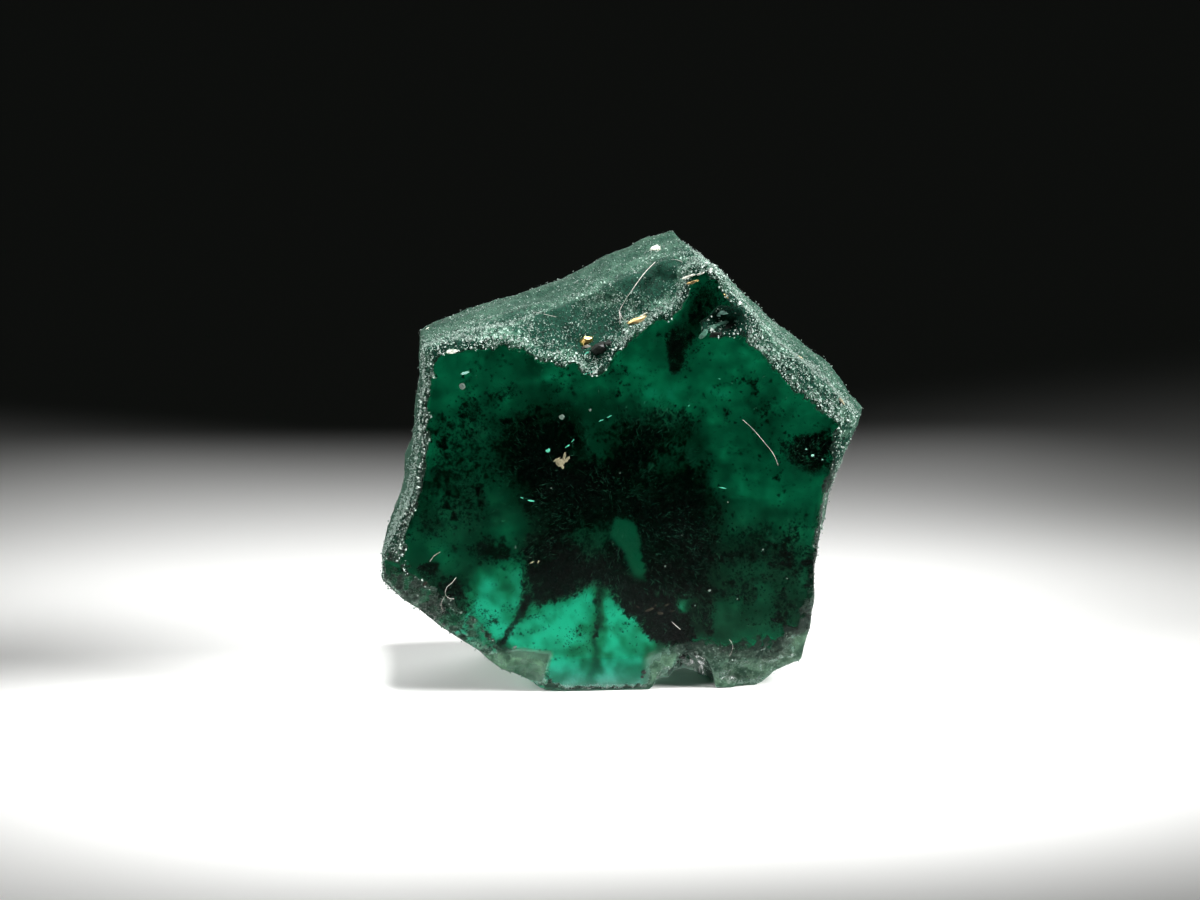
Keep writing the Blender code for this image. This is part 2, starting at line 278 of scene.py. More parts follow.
# The clear, sharp-edged window beside the core: soft edge, share of light, corners
LENS_WINDOW = (0.06, 0.42, [
    (-0.56, 2.90), (-0.44, 3.23), (-0.07, 3.13), (0.03, 2.76), (0.03, 2.56), (0.16, 2.18), (0.08, 2.02),
    (-0.08, 2.09), (-0.28, 2.53),
])

# Where the frosted skin is darker and glassier, and painted shade in the hollows of the pocket by the
# pyrite and of the corner ledge: middle and radii in millimetres, and how strongly
DARK_AND_SHADED_FROST = [
    ((-1.15, -1.45, 6.75), (0.85, 0.75, 0.50), 0.85),
    # painted shade in the pocket round the pyrite
    ((-0.75, -2.10, 6.50), (0.30, 0.35, 0.30), 1.0),
    ((0.35, -0.95, 7.60), (0.65, 0.75, 0.45), 0.75),
    ((-2.30, -0.60, 7.05), (0.70, 0.50, 0.40), 0.5),
    # painted shade in the corner ledge's hollow
    ((1.60, -2.15, 6.95), (0.50, 0.50, 0.34), 1.0),
]
# Thin grey haze on the front face: soft edge, strength, corners
HAZE_ZONES = [
    (0.06, 1.00, [(-3.0, 0.70), (-2.2, 0.82), (-1.62, 0.74), (-1.78, 0.15), (-2.4, 0.1), (-3.0, 0.4)]),
    (0.14, 0.78, [(0.15, 0.60), (0.55, 0.75), (0.8, 0.6), (0.6, -0.1), (0.1, -0.1)]),
    (0.30, 0.74, [
        (1.2, 0.75), (1.7, 0.60), (2.5, 0.55), (3.0, 0.90), (3.5, 0.95), (3.4, -0.2), (1.2, -0.2),
    ]),
    (0.14, 0.95, [(2.85, 0.95), (3.3, 1.0), (3.35, 0.55), (2.9, 0.5)]),
    (0.30, 0.14, [(-4.9, 2.4), (-4.1, 2.2), (-3.2, 1.2), (-2.6, 0.8), (-2.7, 0.2), (-4.9, 1.2)]),
]

# Carbon: where flecks are tried on the front view, density without any, and how softly its depth starts
CARBON_ACROSS = (-4.7, 4.2)
CARBON_UP = (0.0, 8.0)
CARBON_NONE = -0.7
CARBON_DEPTH_SOFT = 0.4
# How strongly coarse and fine noise break it up, and how far its flecks stay under the skin, in millimetres
CARBON_COARSE = 0.65
CARBON_FINE = 0.55
CARBON_SEALED = 0.04
CARBON_FLATNESS = 0.35
CARBON_BLACK = (0.004, 0.005, 0.0045)
# Flecks of each size: places tried, density where they start and where they are sure, smallest and
# largest size, nearest and furthest depth, whether they get finer towards the front, seed
CARBON_SIZES = [
    ("carbon_core", 20000, (0.55, 1.15), (0.10, 0.20), (0.9, 4.1), True, 11),
    ("carbon_clusters", 105000, (0.20, 0.95), (0.036, 0.09), (0.32, 4.1), True, 12),
    ("carbon_dust", 120000, (0.05, 0.85), (0.020, 0.050), (0.05, 4.1), False, 13),
    ("carbon_powder", 120000, (0.05, 0.75), (0.014, 0.032), (0.04, 0.45), False, 15),
]
# Its zones, drawn on the front view: soft edge in millimetres, density, depth where it starts,
# corners as x and z
CARBON_ZONES = [
    # core, soft where it lies deep
    (0.60, 1.00, 0.9, [
        (-2.3, 2.3), (-1.8, 1.9), (-0.9, 2.0), (0.0, 1.6), (0.6, 1.0), (1.2, 1.0), (1.5, 2.0), (1.7, 3.3),
        (1.4, 4.1), (1.1, 5.1), (-0.2, 5.3), (-1.3, 5.4), (-2.3, 5.4), (-2.95, 4.9), (-2.8, 4.2),
        (-2.45, 3.7), (-2.2, 3.2),
    ]),
    (0.50, 0.55, 0.1, [
        (-2.3, 4.9), (-1.3, 4.7), (-0.6, 3.6), (0.9, 4.0), (1.4, 3.2), (1.1, 2.2), (-1.6, 2.2),
        (-1.9, 3.4),
    ]),
    # its feathery edge over the bright patches
    (0.14, 1.15, 0.06, [
        (-2.15, 2.4), (-2.12, 1.95), (-2.05, 1.62), (-1.8, 1.55), (-1.5, 1.66), (-1.2, 1.74),
        (-1.0, 1.92), (-0.75, 2.02), (-0.5, 1.72), (-0.3, 1.45), (0.0, 1.2), (0.15, 0.95), (0.42, 0.78),
        (0.7, 0.72), (0.8, 1.0), (0.5, 1.5), (0.0, 2.0), (-0.7, 2.5),
    ]),
    (0.15, 1.00, 0.06, [
        (0.45, 1.7), (0.75, 1.75), (0.72, 1.25), (1.1, 1.2), (1.05, 0.72), (0.75, 0.66), (0.5, 0.8),
    ]),
    (0.15, 0.80, 0.06, [(1.12, 1.9), (1.5, 1.9), (1.5, 1.5), (1.45, 1.0), (1.3, 0.8), (1.15, 1.1)]),
    # ragged edge of the left bright patch, and the specks in it
    (0.10, 1.05, 0.06, [
        (-2.2, 2.4), (-1.95, 1.7), (-2.15, 1.4), (-2.38, 1.06), (-2.6, 0.8), (-2.68, 0.92), (-2.42, 1.28),
        (-2.25, 1.7),
    ]),
    (0.12, 0.62, 0.06, [(-2.98, 1.5), (-2.72, 1.5), (-2.6, 1.25), (-2.88, 1.2)]),
    (0.12, 0.22, 0.3, [(-1.45, 1.1), (-1.1, 1.1), (-1.1, 0.95), (-1.45, 0.95)]),
    (0.50, -0.10, 0.06, [(-2.5, 1.9), (-0.9, 1.9), (0.2, 1.2), (0.2, 0.4), (-1.7, 0.4), (-3.1, 1.0)]),
    # thin arm between the two bright patches
    (0.07, 0.55, 0.5, [
        (-0.90, 2.05), (-0.66, 2.0), (-0.72, 1.3), (-0.80, 0.7), (-0.92, 0.7), (-0.88, 1.4),
    ]),
    # top arm, and the dark behind the broken corner
    (0.16, 1.10, 0.06, [
        (0.5, 6.75), (0.72, 6.85), (1.0, 6.7), (0.88, 6.3), (0.85, 6.05), (0.6, 5.95), (0.5, 6.3),
    ]),
    (0.30, 0.55, 0.06, [(0.8, 6.8), (1.75, 6.8), (1.6, 7.8), (0.9, 7.6)]),
    (0.10, 0.48, 0.06, [(1.3, 5.75), (1.8, 5.9), (2.1, 5.85), (2.1, 5.74), (1.75, 5.74), (1.35, 5.58)]),
    (0.08, 0.60, 0.06, [(2.05, 5.9), (2.25, 5.8), (2.28, 5.5), (2.15, 5.5)]),
    (0.07, 0.50, 0.06, [(2.38, 5.45), (2.48, 5.4), (2.4, 5.1), (2.3, 5.1)]),
    (0.10, 0.55, 0.06, [(1.55, 5.35), (1.75, 5.35), (1.7, 4.95), (1.55, 5.0)]),
    (0.20, 0.40, 0.3, [(-0.2, 5.5), (0.9, 5.4), (1.1, 4.9), (0.0, 4.9)]),
    # right arm at the edge
    (0.20, 1.00, 0.06, [
        (2.6, 4.65), (3.0, 4.8), (3.7, 4.85), (3.75, 4.5), (3.5, 4.0), (3.2, 4.0), (2.8, 4.25),
    ]),
    # lower right arm
    (0.12, 0.70, 0.3, [(1.4, 2.6), (2.2, 2.52), (3.25, 2.55), (3.25, 2.4), (2.6, 2.38), (1.5, 2.42)]),
    (0.40, 0.34, 0.3, [(1.5, 3.2), (3.2, 3.2), (3.2, 1.0), (1.4, 1.0)]),
    (0.25, 0.50, 0.06, [(1.9, 1.3), (2.9, 1.5), (3.1, 0.9), (2.0, 1.0)]),
    (0.15, 0.60, 0.06, [(3.0, 2.7), (3.25, 2.7), (3.2, 1.6), (3.05, 1.7)]),
    # left arm
    (0.10, 1.25, 0.06, [(-4.15, 2.4), (-3.95, 2.5), (-3.78, 2.35), (-3.85, 2.12), (-4.05, 2.16)]),
    (0.22, 0.80, 0.2, [(-3.3, 2.8), (-2.9, 3.0), (-2.5, 2.9), (-2.4, 2.5), (-2.7, 2.35), (-3.1, 2.45)]),
    (0.15, 0.62, 0.06, [(-2.75, 5.6), (-2.35, 5.95), (-2.15, 5.8), (-2.4, 5.5), (-2.75, 5.4)]),
    (0.20, 0.52, 0.2, [(-3.4, 5.6), (-2.9, 5.6), (-2.9, 5.1), (-3.4, 5.1)]),
    (0.45, 0.34, 0.2, [(-4.0, 5.6), (-2.9, 5.4), (-2.7, 4.2), (-2.9, 2.8), (-4.3, 2.8)]),
    (0.40, 0.46, 0.06, [(-4.2, 2.2), (-3.1, 2.3), (-2.9, 1.2), (-3.7, 1.2)]),
    # thinly, everywhere else
    (0.60, -0.12, 0.4, [(-3.9, 6.4), (0.8, 7.4), (3.9, 5.2), (3.2, 0.8), (-4.2, 2.0)]),
]
# Windows in the carbon, in the same way: soft edge, how much density they take away, corners
CARBON_WINDOWS = [
    (0.08, 1.9, [
        (-0.53, 2.88), (-0.44, 3.23), (-0.07, 3.13), (0.02, 2.75), (0.02, 2.56), (0.15, 2.18),
        (0.08, 2.02), (-0.07, 2.09), (-0.26, 2.53),
    ]),
    (0.25, 0.8, [(-1.15, 5.3), (-0.5, 5.3), (-0.4, 4.7), (-0.7, 4.4), (-1.1, 4.5)]),
    (0.25, 0.8, [(0.05, 4.2), (0.5, 4.7), (1.2, 4.8), (1.05, 4.25), (0.5, 4.0)]),
    (0.20, 0.7, [(-1.3, 2.9), (-0.8, 3.1), (-0.5, 3.0), (-0.6, 2.6), (-0.9, 2.4)]),
    (0.06, 1.6, [(0.78, 1.60), (1.0, 1.64), (0.98, 1.44), (0.82, 1.38)]),
    (0.12, 1.2, [(1.5, 1.5), (1.85, 1.5), (1.8, 1.1), (1.5, 1.1)]),
    (0.20, 0.5, [(-2.7, 3.7), (-2.4, 3.7), (-2.2, 2.9), (-2.6, 2.8)]),
]

# Silk: places tried and where, depths, lengths and half widths in millimetres
SILK_TRIES = 24000
SILK_ACROSS = (-4.3, 3.8)
SILK_UP = (0.4, 7.5)
SILK_NEAREST = 0.05
SILK_DEPTH = 0.6
SILK_SEALED = 0.02
SILK_SHORT = 0.03
SILK_LONG = 0.22
SILK_THIN = 0.003
SILK_THICK = 0.008
SILK_GREEN = (0.06, 0.17, 0.11)
# How far needles stray from lying straight out from the core, across the view and in depth, in radians
SILK_STRAY = 0.55
SILK_TILT = 0.12
# Where a needle's three sides meet, in radians round it
NEEDLE_TURNS = (0, 2.1, 4.2)
# Its zones: soft edge, share, corners
SILK_ZONES = [
    (0.30, 0.22, [(-4.2, 6.3), (0.8, 7.3), (3.8, 5.0), (3.2, 0.9), (-4.0, 2.0)]),
    (0.40, 0.60, [(-3.6, 5.8), (1.0, 5.6), (1.8, 2.4), (1.4, 0.9), (-2.3, 1.9), (-3.8, 2.4)]),
    (0.15, 1.00, [(2.6, 4.6), (3.7, 4.8), (3.6, 4.0), (2.9, 4.0)]),
    (0.15, 0.90, [(-0.9, 3.2), (0.3, 3.2), (0.4, 1.9), (-1.3, 2.3)]),
]

# Bits that lie on the skin, some of them painted glints, highlights, reflections and shadows: colour,
# roughness and metal of each kind
BIT_LOOKS = {
    "pyrite_flake": ((0.95, 0.68, 0.22), 0.28, 1.0),
    "brassy_grains_and_painted_glints": ((0.46, 0.33, 0.14), 0.45, 0.7),
    "dark_grains_and_painted_shadows": ((0.012, 0.016, 0.013), 0.40, 0.0),
    "pale_chips_and_painted_highlights": ((0.80, 0.82, 0.70), 0.40, 0.0),
    "tan_chips": ((0.25, 0.225, 0.14), 0.70, 0.0),
    "mint_spots_and_painted_reflections": ((0.30, 0.60, 0.50), 0.35, 0.0),
    "green_ridge": ((0.06, 0.17, 0.12), 0.60, 0.0),
    "green_glints": ((0.08, 0.48, 0.32), 0.45, 0.0),
    "dust_specks": ((0.13, 0.18, 0.15), 0.80, 0.0),
    "brown_stains": ((0.020, 0.018, 0.010), 0.80, 0.0),
}
BIT_ROUGH = 0.45
BIT_SHEEN = 0.25
# Share of its brightness that a bit's colour keeps in its darker spots
SPOT_SHADE = 0.6
# Where each bit lies on the front view, its size across and up, its thickness and its turn in degrees
BITS = {
    "pyrite_flake": [(-0.94, 6.57, 0.26, 0.22, 0.19, 12)],
    # Painted glints too: the two thin streaks along the broken corner's edges
    "brassy_grains_and_painted_glints": [
        (0.01, 6.95, 0.42, 0.15, 0.12, 8), (0.98, 7.64, 0.24, 0.05, 0.06, 18),
        (1.60, 7.36, 0.16, 0.04, 0.05, -38),
    ],
    # Painted shadows too: the grain just under the pyrite and the two in the corner ledge's hollow
    "dark_grains_and_painted_shadows": [
        (-0.72, 6.44, 0.30, 0.22, 0.17, 20), (-0.96, 6.46, 0.24, 0.12, 0.08, 0),
        (-0.56, 6.54, 0.16, 0.12, 0.10, 40), (1.68, 6.80, 0.30, 0.12, 0.08, 25),
        (1.40, 6.66, 0.26, 0.10, 0.06, 15), (0.82, 0.62, 0.16, 0.10, 0.1, -20),
        (0.10, 0.33, 0.10, 0.09, 0.05, 0), (0.07, 0.24, 0.07, 0.06, 0.05, 30),
    ],
    # Painted highlights too: the thin chip on the brassy grain's top edge, and the three along the broken
    # corner's top edge
    "pale_chips_and_painted_highlights": [
        (0.29, 8.26, 0.19, 0.16, 0.12, 15), (-3.42, 6.42, 0.22, 0.07, 0.06, 6),
        (0.04, 7.01, 0.26, 0.04, 0.06, 8), (0.90, 7.74, 0.26, 0.05, 0.06, 15),
        (1.12, 7.79, 0.16, 0.04, 0.05, 20), (-3.86, 6.84, 0.10, 0.08, 0.05, 0),
        (2.02, 7.34, 0.07, 0.06, 0.05, 0), (1.30, 7.86, 0.09, 0.05, 0.05, 30),
        (0.36, 8.24, 0.10, 0.06, 0.08, 50),
    ],
    "tan_chips": [
        (2.97, 6.21, 0.09, 0.20, 0.05, 25), (-1.45, 4.33, 0.17, 0.14, 0.04, 20),
        (-1.38, 4.42, 0.05, 0.22, 0.03, -12), (-1.33, 4.38, 0.06, 0.16, 0.03, -40),
        (-1.52, 4.38, 0.16, 0.04, 0.03, 30), (-1.42, 4.26, 0.05, 0.12, 0.03, 35),
        (-1.98, 2.46, 0.10, 0.025, 0.02, 25), (-1.86, 2.47, 0.06, 0.03, 0.02, 60),
        (3.95, 5.50, 0.06, 0.16, 0.05, 40),
    ],
    # Painted reflections: the bright facet above the corner ledge, in two pieces, and the glint at the
    # upper left; the rest are mint spots
    "mint_spots_and_painted_reflections": [
        (1.55, 7.08, 0.20, 0.13, 0.06, 12), (1.46, 7.03, 0.09, 0.07, 0.05, -20),
        (-3.19, 6.02, 0.15, 0.05, 0.02, 14), (3.22, 4.38, 0.06, 0.05, 0.03, 0),
        (3.10, 4.50, 0.04, 0.03, 0.03, 0), (3.40, 4.30, 0.03, 0.03, 0.03, 0),
    ],
    "green_ridge": [
        (1.18, 6.68, 0.20, 0.10, 0.07, 50), (1.33, 6.80, 0.24, 0.09, 0.07, 25),
        (1.55, 6.88, 0.26, 0.07, 0.06, 8), (1.76, 6.90, 0.22, 0.06, 0.05, 0),
        (1.42, 6.83, 0.16, 0.05, 0.07, 18),
    ],
    # Painted glints of cracks inside the stone, as bright green bits on the skin
    "green_glints": [
        (-1.68, 4.55, 0.07, 0.06, 0.03, 0), (-1.66, 4.57, 0.05, 0.05, 0.03, 40),
        (-0.88, 6.00, 0.11, 0.018, 0.012, 22), (-0.98, 5.97, 0.06, 0.016, 0.012, 20),
        (-0.70, 5.10, 0.10, 0.020, 0.012, 20), (-0.55, 5.17, 0.10, 0.022, 0.012, 28),
        (-1.32, 4.63, 0.11, 0.028, 0.012, 34), (-1.22, 4.73, 0.08, 0.018, 0.012, 45),
        (-1.99, 3.62, 0.12, 0.030, 0.012, -10), (-2.16, 3.68, 0.06, 0.018, 0.012, -20),
        (0.92, 5.35, 0.05, 0.012, 0.01, 50), (-0.95, 6.36, 0.14, 0.03, 0.012, 20),
        (1.48, 5.84, 0.04, 0.014, 0.01, -40), (1.55, 3.80, 0.13, 0.020, 0.01, -14),
        (0.10, 5.42, 0.04, 0.012, 0.01, 60),
    ],
    "dust_specks": [
        (-3.24, 5.78, 0.10, 0.12, 0.04, 10), (-1.42, 5.18, 0.10, 0.09, 0.04, 30),
        (-0.90, 5.30, 0.05, 0.05, 0.02, 30), (-0.35, 4.11, 0.028, 0.028, 0.02, 0),
        (-1.62, 3.85, 0.025, 0.025, 0.02, 0), (0.80, 2.92, 0.030, 0.022, 0.02, 0),
        (1.65, 3.53, 0.030, 0.030, 0.02, 0), (2.31, 2.62, 0.03, 0.04, 0.02, -30),
        (1.84, 1.69, 0.03, 0.03, 0.02, 0), (0.49, 2.34, 0.04, 0.03, 0.02, 0),
        (1.32, 1.86, 0.06, 0.04, 0.02, 20), (2.77, 2.06, 0.03, 0.02, 0.02, 0),
        (3.25, 1.66, 0.03, 0.03, 0.02, 0), (1.05, 1.58, 0.03, 0.03, 0.02, 0),
        (-2.30, 0.86, 0.07, 0.05, 0.03, 15), (-2.28, 2.75, 0.02, 0.06, 0.02, 0),
    ],
    "brown_stains": [
        (0.20, 1.52, 0.16, 0.05, 0.02, 20), (0.40, 1.45, 0.12, 0.06, 0.02, -10),
        (0.52, 1.60, 0.10, 0.04, 0.02, 30), (0.31, 1.60, 0.06, 0.04, 0.02, 60),
        (0.62, 1.48, 0.09, 0.03, 0.02, 15), (-0.02, 1.58, 0.07, 0.03, 0.02, -20),
        (-3.95, 2.10, 0.12, 0.06, 0.03, 45),
    ],
}

# Lint: path on the front view, radius, and how far off the skin
FIBRES = [
    ([
        (0.29, 8.02), (0.08, 7.80), (-0.13, 7.51), (-0.27, 7.30), (-0.36, 7.12), (-0.35, 6.98),
        (-0.36, 6.87),
    ], 0.011, 0.06),
    ([(0.32, 8.00), (0.62, 8.06), (0.78, 8.02)], 0.007, 0.04),
    ([(-0.36, 7.10), (-0.30, 6.98), (-0.20, 6.94)], 0.007, 0.05),
    ([(1.92, 5.07), (2.10, 4.90), (2.34, 4.62), (2.50, 4.40), (2.58, 4.21)], 0.008, 0.03),
    ([(-3.86, 2.51), (-3.78, 2.62), (-3.67, 2.69)], 0.009, 0.03),
    ([
        (-3.38, 2.20), (-3.46, 2.10), (-3.55, 2.02), (-3.58, 1.90), (-3.52, 1.82), (-3.42, 1.80),
    ], 0.009, 0.03),
    ([(0.62, 1.28), (0.70, 1.20), (0.78, 1.13)], 0.010, 0.03),
    ([(-1.91, 7.13), (-1.72, 7.08), (-1.52, 7.03)], 0.009, 0.04),
    ([(1.70, 0.92), (1.76, 0.80), (1.74, 0.68), (1.70, 0.60)], 0.007, 0.03),
    ([(-3.60, 1.84), (-3.66, 1.70), (-3.62, 1.56)], 0.006, 0.03),
]
FIBRE_STEPS = 5
FIBRE_SIDES = 5
LINT_GREY = (0.50, 0.47, 0.43)


def new_object(name, data):
    """A new object in the scene."""
    piece = bpy.data.objects.new(name, data)
    bpy.context.scene.collection.objects.link(piece)
    return piece


class Tree:
    """Short words for building a material's or a shape's nodes."""

    def __init__(self, tree):
        self.tree = tree

    def node(self, kind, **settings):
        made = self.tree.nodes.new(kind)
        for name, value in settings.items():
            setattr(made, name, value)
        return made

    def feed(self, socket, value):
        if isinstance(value, bpy.types.NodeSocket):
            self.tree.links.new(value, socket)
        else:
            socket.default_value = value

    def maths(self, operation, first, *others):
        """The operation on two values, and then on its result and each further one."""
        for other in others:
            made = self.node("ShaderNodeMath", operation=operation)
            self.feed(made.inputs[0], first)
            self.feed(made.inputs[1], other)
            first = made.outputs[0]
        return first

    def ramp(self, value, low, high, start=0.0, end=1.0, smooth=False):
        made = self.node("ShaderNodeMapRange")
        made.interpolation_type = "SMOOTHSTEP" if smooth else "LINEAR"
        self.feed(made.inputs["Value"], value)
        self.feed(made.inputs["From Min"], low)
        self.feed(made.inputs["From Max"], high)
        self.feed(made.inputs["To Min"], start)
        self.feed(made.inputs["To Max"], end)
        return made.outputs["Result"]

    def fade(self, value, start, end):
        """From start where the value is 0 to end where it is 1."""
        return self.ramp(value, 0.0, 1.0, start, end)

    def blend(self, share, a, b):
        made = self.node("ShaderNodeMix", data_type="RGBA")
        self.feed(made.inputs["Factor"], share)
        self.feed(made.inputs["A"], self.colour(a))
        self.feed(made.inputs["B"], self.colour(b))
        return made.outputs["Result"]

    def colour(self, value):
        return (*value, 1) if isinstance(value, tuple) else value

    def noise(self, place, scale, detail=2.0, rough=0.5):
        made = self.node("ShaderNodeTexNoise")
        self.feed(made.inputs["Vector"], place)
        self.feed(made.inputs["Scale"], scale)
        self.feed(made.inputs["Detail"], detail)
        self.feed(made.inputs["Roughness"], rough)
        return made.outputs["Fac"]

    def vector(self, operation, value, by):
        made = self.node("ShaderNodeVectorMath", operation=operation)
        self.feed(made.inputs[0], value)
        self.feed(made.inputs["Scale" if operation == "SCALE" else 1], by)
        return made.outputs[0]

    def attribute(self, name):
        return self.node("ShaderNodeAttribute", attribute_name=name).outputs["Fac"]

    def millimetres(self):
        """Object coordinates in millimetres."""
        return self.vector("SCALE", self.node("ShaderNodeTexCoord").outputs["Object"], 1 / MM)


def new_material(name):
    """A material, its nodes and its shader."""
    material = bpy.data.materials.new(name)
    material.use_nodes = True
    return material, Tree(material.node_tree), material.node_tree.nodes["Principled BSDF"]


def mesh_of(piece):
    """A piece's mesh with its modifiers applied."""
    graph = bpy.context.evaluated_depsgraph_get()
    return bpy.data.meshes.new_from_object(piece.evaluated_get(graph))


def crystal_skin():
    """The CAD stone's surface, remade as an even, fine mesh in millimetres."""
    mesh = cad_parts["emerald_crystal"].data.copy()
    mesh.materials.clear()
    shell = bmesh.new()
    shell.from_mesh(mesh)
    bmesh.ops.remove_doubles(shell, verts=shell.verts, dist=MERGE_GAP * MM)
    for vertex in shell.verts:
        vertex.co = vertex.co / MM
    shell.to_mesh(mesh)
    shell.free()
    coarse = new_object("coarse_skin", mesh)
    remesh = coarse.modifiers.new("even_cells", "REMESH")
    remesh.mode = "VOXEL"
    remesh.voxel_size = SKIN_CELL
    remesh.use_smooth_shade = True
    fine = mesh_of(coarse)
    bpy.data.objects.remove(coarse)
    return fine


def vertex_array(mesh, name):
    """The places or normals of a mesh's corners, one row for each."""
    values = np.empty(len(mesh.vertices) * 3, np.float32)
    mesh.vertices.foreach_get(name, values)
    return values.reshape(-1, 3)


def set_attribute(mesh, name, values):
    """Marks each of a mesh's corners with a value."""
    mesh.attributes.new(name, "FLOAT", "POINT").data.foreach_set("value", values.astype(np.float32))


def get_attribute(mesh, name):
    """The values that a mesh's corners are marked with."""
    values = np.empty(len(mesh.vertices), np.float32)
    mesh.attributes[name].data.foreach_get("value", values)
    return values


def rise(values, start, width):
    """0 up to a start, rising evenly to 1 over a width, and 1 past it."""
    return np.clip((values - start) / width, 0, 1)


def front_view(places):
    """Where places in the stone appear on its front face from the camera, in millimetres across and up."""
    depth = places[:, 1] - FRONT_Y
    return places[:, 0] + SIGHT_X * depth, places[:, 2] + SIGHT_Z * depth


def zone_share(x, z, corners, soft):
    """1 inside a zone given by its corners, falling smoothly to 0 outside it over a soft edge."""
    far = np.full_like(x, np.inf)
    inside = np.zeros(len(x), bool)
    for (ax, az), (bx, bz) in zip(corners, corners[1:] + corners[:1]):
        ex, ez = bx - ax, bz - az
        share = np.clip(((x - ax) * ex + (z - az) * ez) / (ex * ex + ez * ez), 0, 1)
        far = np.minimum(far, np.hypot(x - ax - share * ex, z - az - share * ez))
        crosses = (az > z) != (bz > z)
        with np.errstate(divide="ignore", invalid="ignore"):
            inside ^= crosses & (x < ax + (z - az) * ex / ez)
    share = np.clip(0.5 + np.where(inside, far, -far) / (2 * soft), 0, 1)
    return share * share * (3 - 2 * share)


def zone_values(x, z, value, zones):
    """A value at each place, which each zone in turn replaces with its own."""
    for soft, own, corners in zones:
        share = zone_share(x, z, corners, soft)
        value = value * (1 - share) + own * share
    return value


def zone_most(x, z, zones):
    """The greatest of the zones' values at each place, each fading over its soft edge."""
    return np.maximum.reduce([own * zone_share(x, z, corners, soft) for soft, own, corners in zones])


def fractal_noise(places, scale, octaves, seed):
    """Smooth noise of about -1 to 1 at many places, its bumps 1 / scale millimetres across."""
    shift = Vector((seed * 3.7, seed * 1.3, seed * 5.9))
    points = [Vector(place) * scale + shift for place in places]
    return np.array([noise.fractal(point, NOISE_FADE, NOISE_STEP, octaves) for point in points])


def distance_to(places, targets):
    """How far each place is from the nearest of some others, in millimetres."""
    tree = kdtree.KDTree(len(targets))
    for index, target in enumerate(targets):
        tree.insert(target, index)
    tree.balance()
    return np.array([tree.find(place)[2] for place in places])


def back_light(places):
    """The share of light that the skin lets through behind each place of the front view: partly painted
    light and shade, bright over the foot and dim higher up, and dark behind the carbon core.
    """
    x, z = front_view(places)
    on_view = np.column_stack([x, np.zeros_like(x), z])
    out = np.hypot(x - CORE_X, z - CORE_Z)
    turn = np.arctan2(z - CORE_Z, x - CORE_X)
    fans = np.column_stack([FAN_STRETCH * out, FAN_SPREAD * np.cos(turn), FAN_SPREAD * np.sin(turn)])
    cloud = fractal_noise(on_view, scale=0.9, octaves=3, seed=2)
    wisps = 0.5 * fractal_noise(on_view, scale=2.4, octaves=3, seed=9)
    wisps += 0.6 * fractal_noise(fans, scale=2.2, octaves=3, seed=10) * np.clip(out - 1, 0, 1)
    feathers = fractal_noise(on_view, scale=4.5, octaves=3, seed=14)
    soft, lens, corners = LENS_WINDOW
    window = zone_share(x, z, corners, soft)
    x = x + CLOUD_SHIFT * cloud + FEATHER_SHIFT_X * feathers
    z = z + WISP_SHIFT * wisps + FEATHER_SHIFT_Z * feathers
    light = zone_values(x, z, np.full_like(x, PLAIN_LIGHT), BACK_LIGHTS)
    light = light * (1 + CLOUD_SHARE * cloud + WISP_SHARE * wisps + FEATHER_SHARE * feathers)
    return np.clip(light * (1 - window) + lens * window, 0, 1)


def face_gloss(places, edge):
    """Gloss of the flat front face, from each place's distance to its edge, with a ragged frosted rim."""
    x, z = places[:, 0], places[:, 2]
    on_face = np.column_stack([x, np.full_like(x, FACE_NOISE_Y), z])
    width = zone_values(x, z, np.full_like(x, RIM_WIDTH), RIM_ZONES)
    ragged = fractal_noise(on_face, scale=2.2, octaves=4, seed=1)
    ragged = ragged + 0.4 * fractal_noise(on_face, scale=9.0, octaves=2, seed=5)
    edge = edge - RIM_RAGGED * fractal_noise(on_face, scale=4.0, octaves=3, seed=6)
    fade = (RIM_FADE + width) * np.clip(2.6 - 0.8 * z, 1, 2)
    return np.clip(0.5 + (edge - width * (1 + RIM_WANDER * ragged)) / fade, 0, 1)


def gloss_of(places, normals):
    """1 where the skin is the clean glossy front, and 0 where it is frosted."""
    flat = (-normals[:, 1] > FACE_FACING) & (places[:, 1] - FRONT_Y < FACE_DEPTH)
    gloss = np.zeros(len(places))
    gloss[flat] = face_gloss(places[flat], distance_to(places[flat], places[~flat]))
    chipped = ~flat & (-normals[:, 1] > CHIP_FACING) & (places[:, 1] < CHIP_BACK_Y)
    x, z = places[chipped, 0], places[chipped, 2]
    mottle = CHIP_MOTTLE * fractal_noise(places[chipped], scale=1.7, octaves=3, seed=61)
    for soft, clear, corners in THIN_FROST:
        gloss[chipped] = np.maximum(gloss[chipped], (clear + mottle) * zone_share(x, z, corners, soft))
    return gloss


def dark_and_shaded_frost(places):
    """How dark and glassy the frosted skin is at each place, with painted shade in two hollows."""
    dark = np.zeros(len(places))
    wander = 0.35 * fractal_noise(places, scale=2.2, octaves=3, seed=41)
    for middle, radii, strength in DARK_AND_SHADED_FROST:
        far = np.sqrt((((places - middle) / radii) ** 2).sum(axis=1)) + wander
        dark = np.maximum(dark, strength * np.clip((1.2 - far) / 0.5, 0, 1))
    return dark


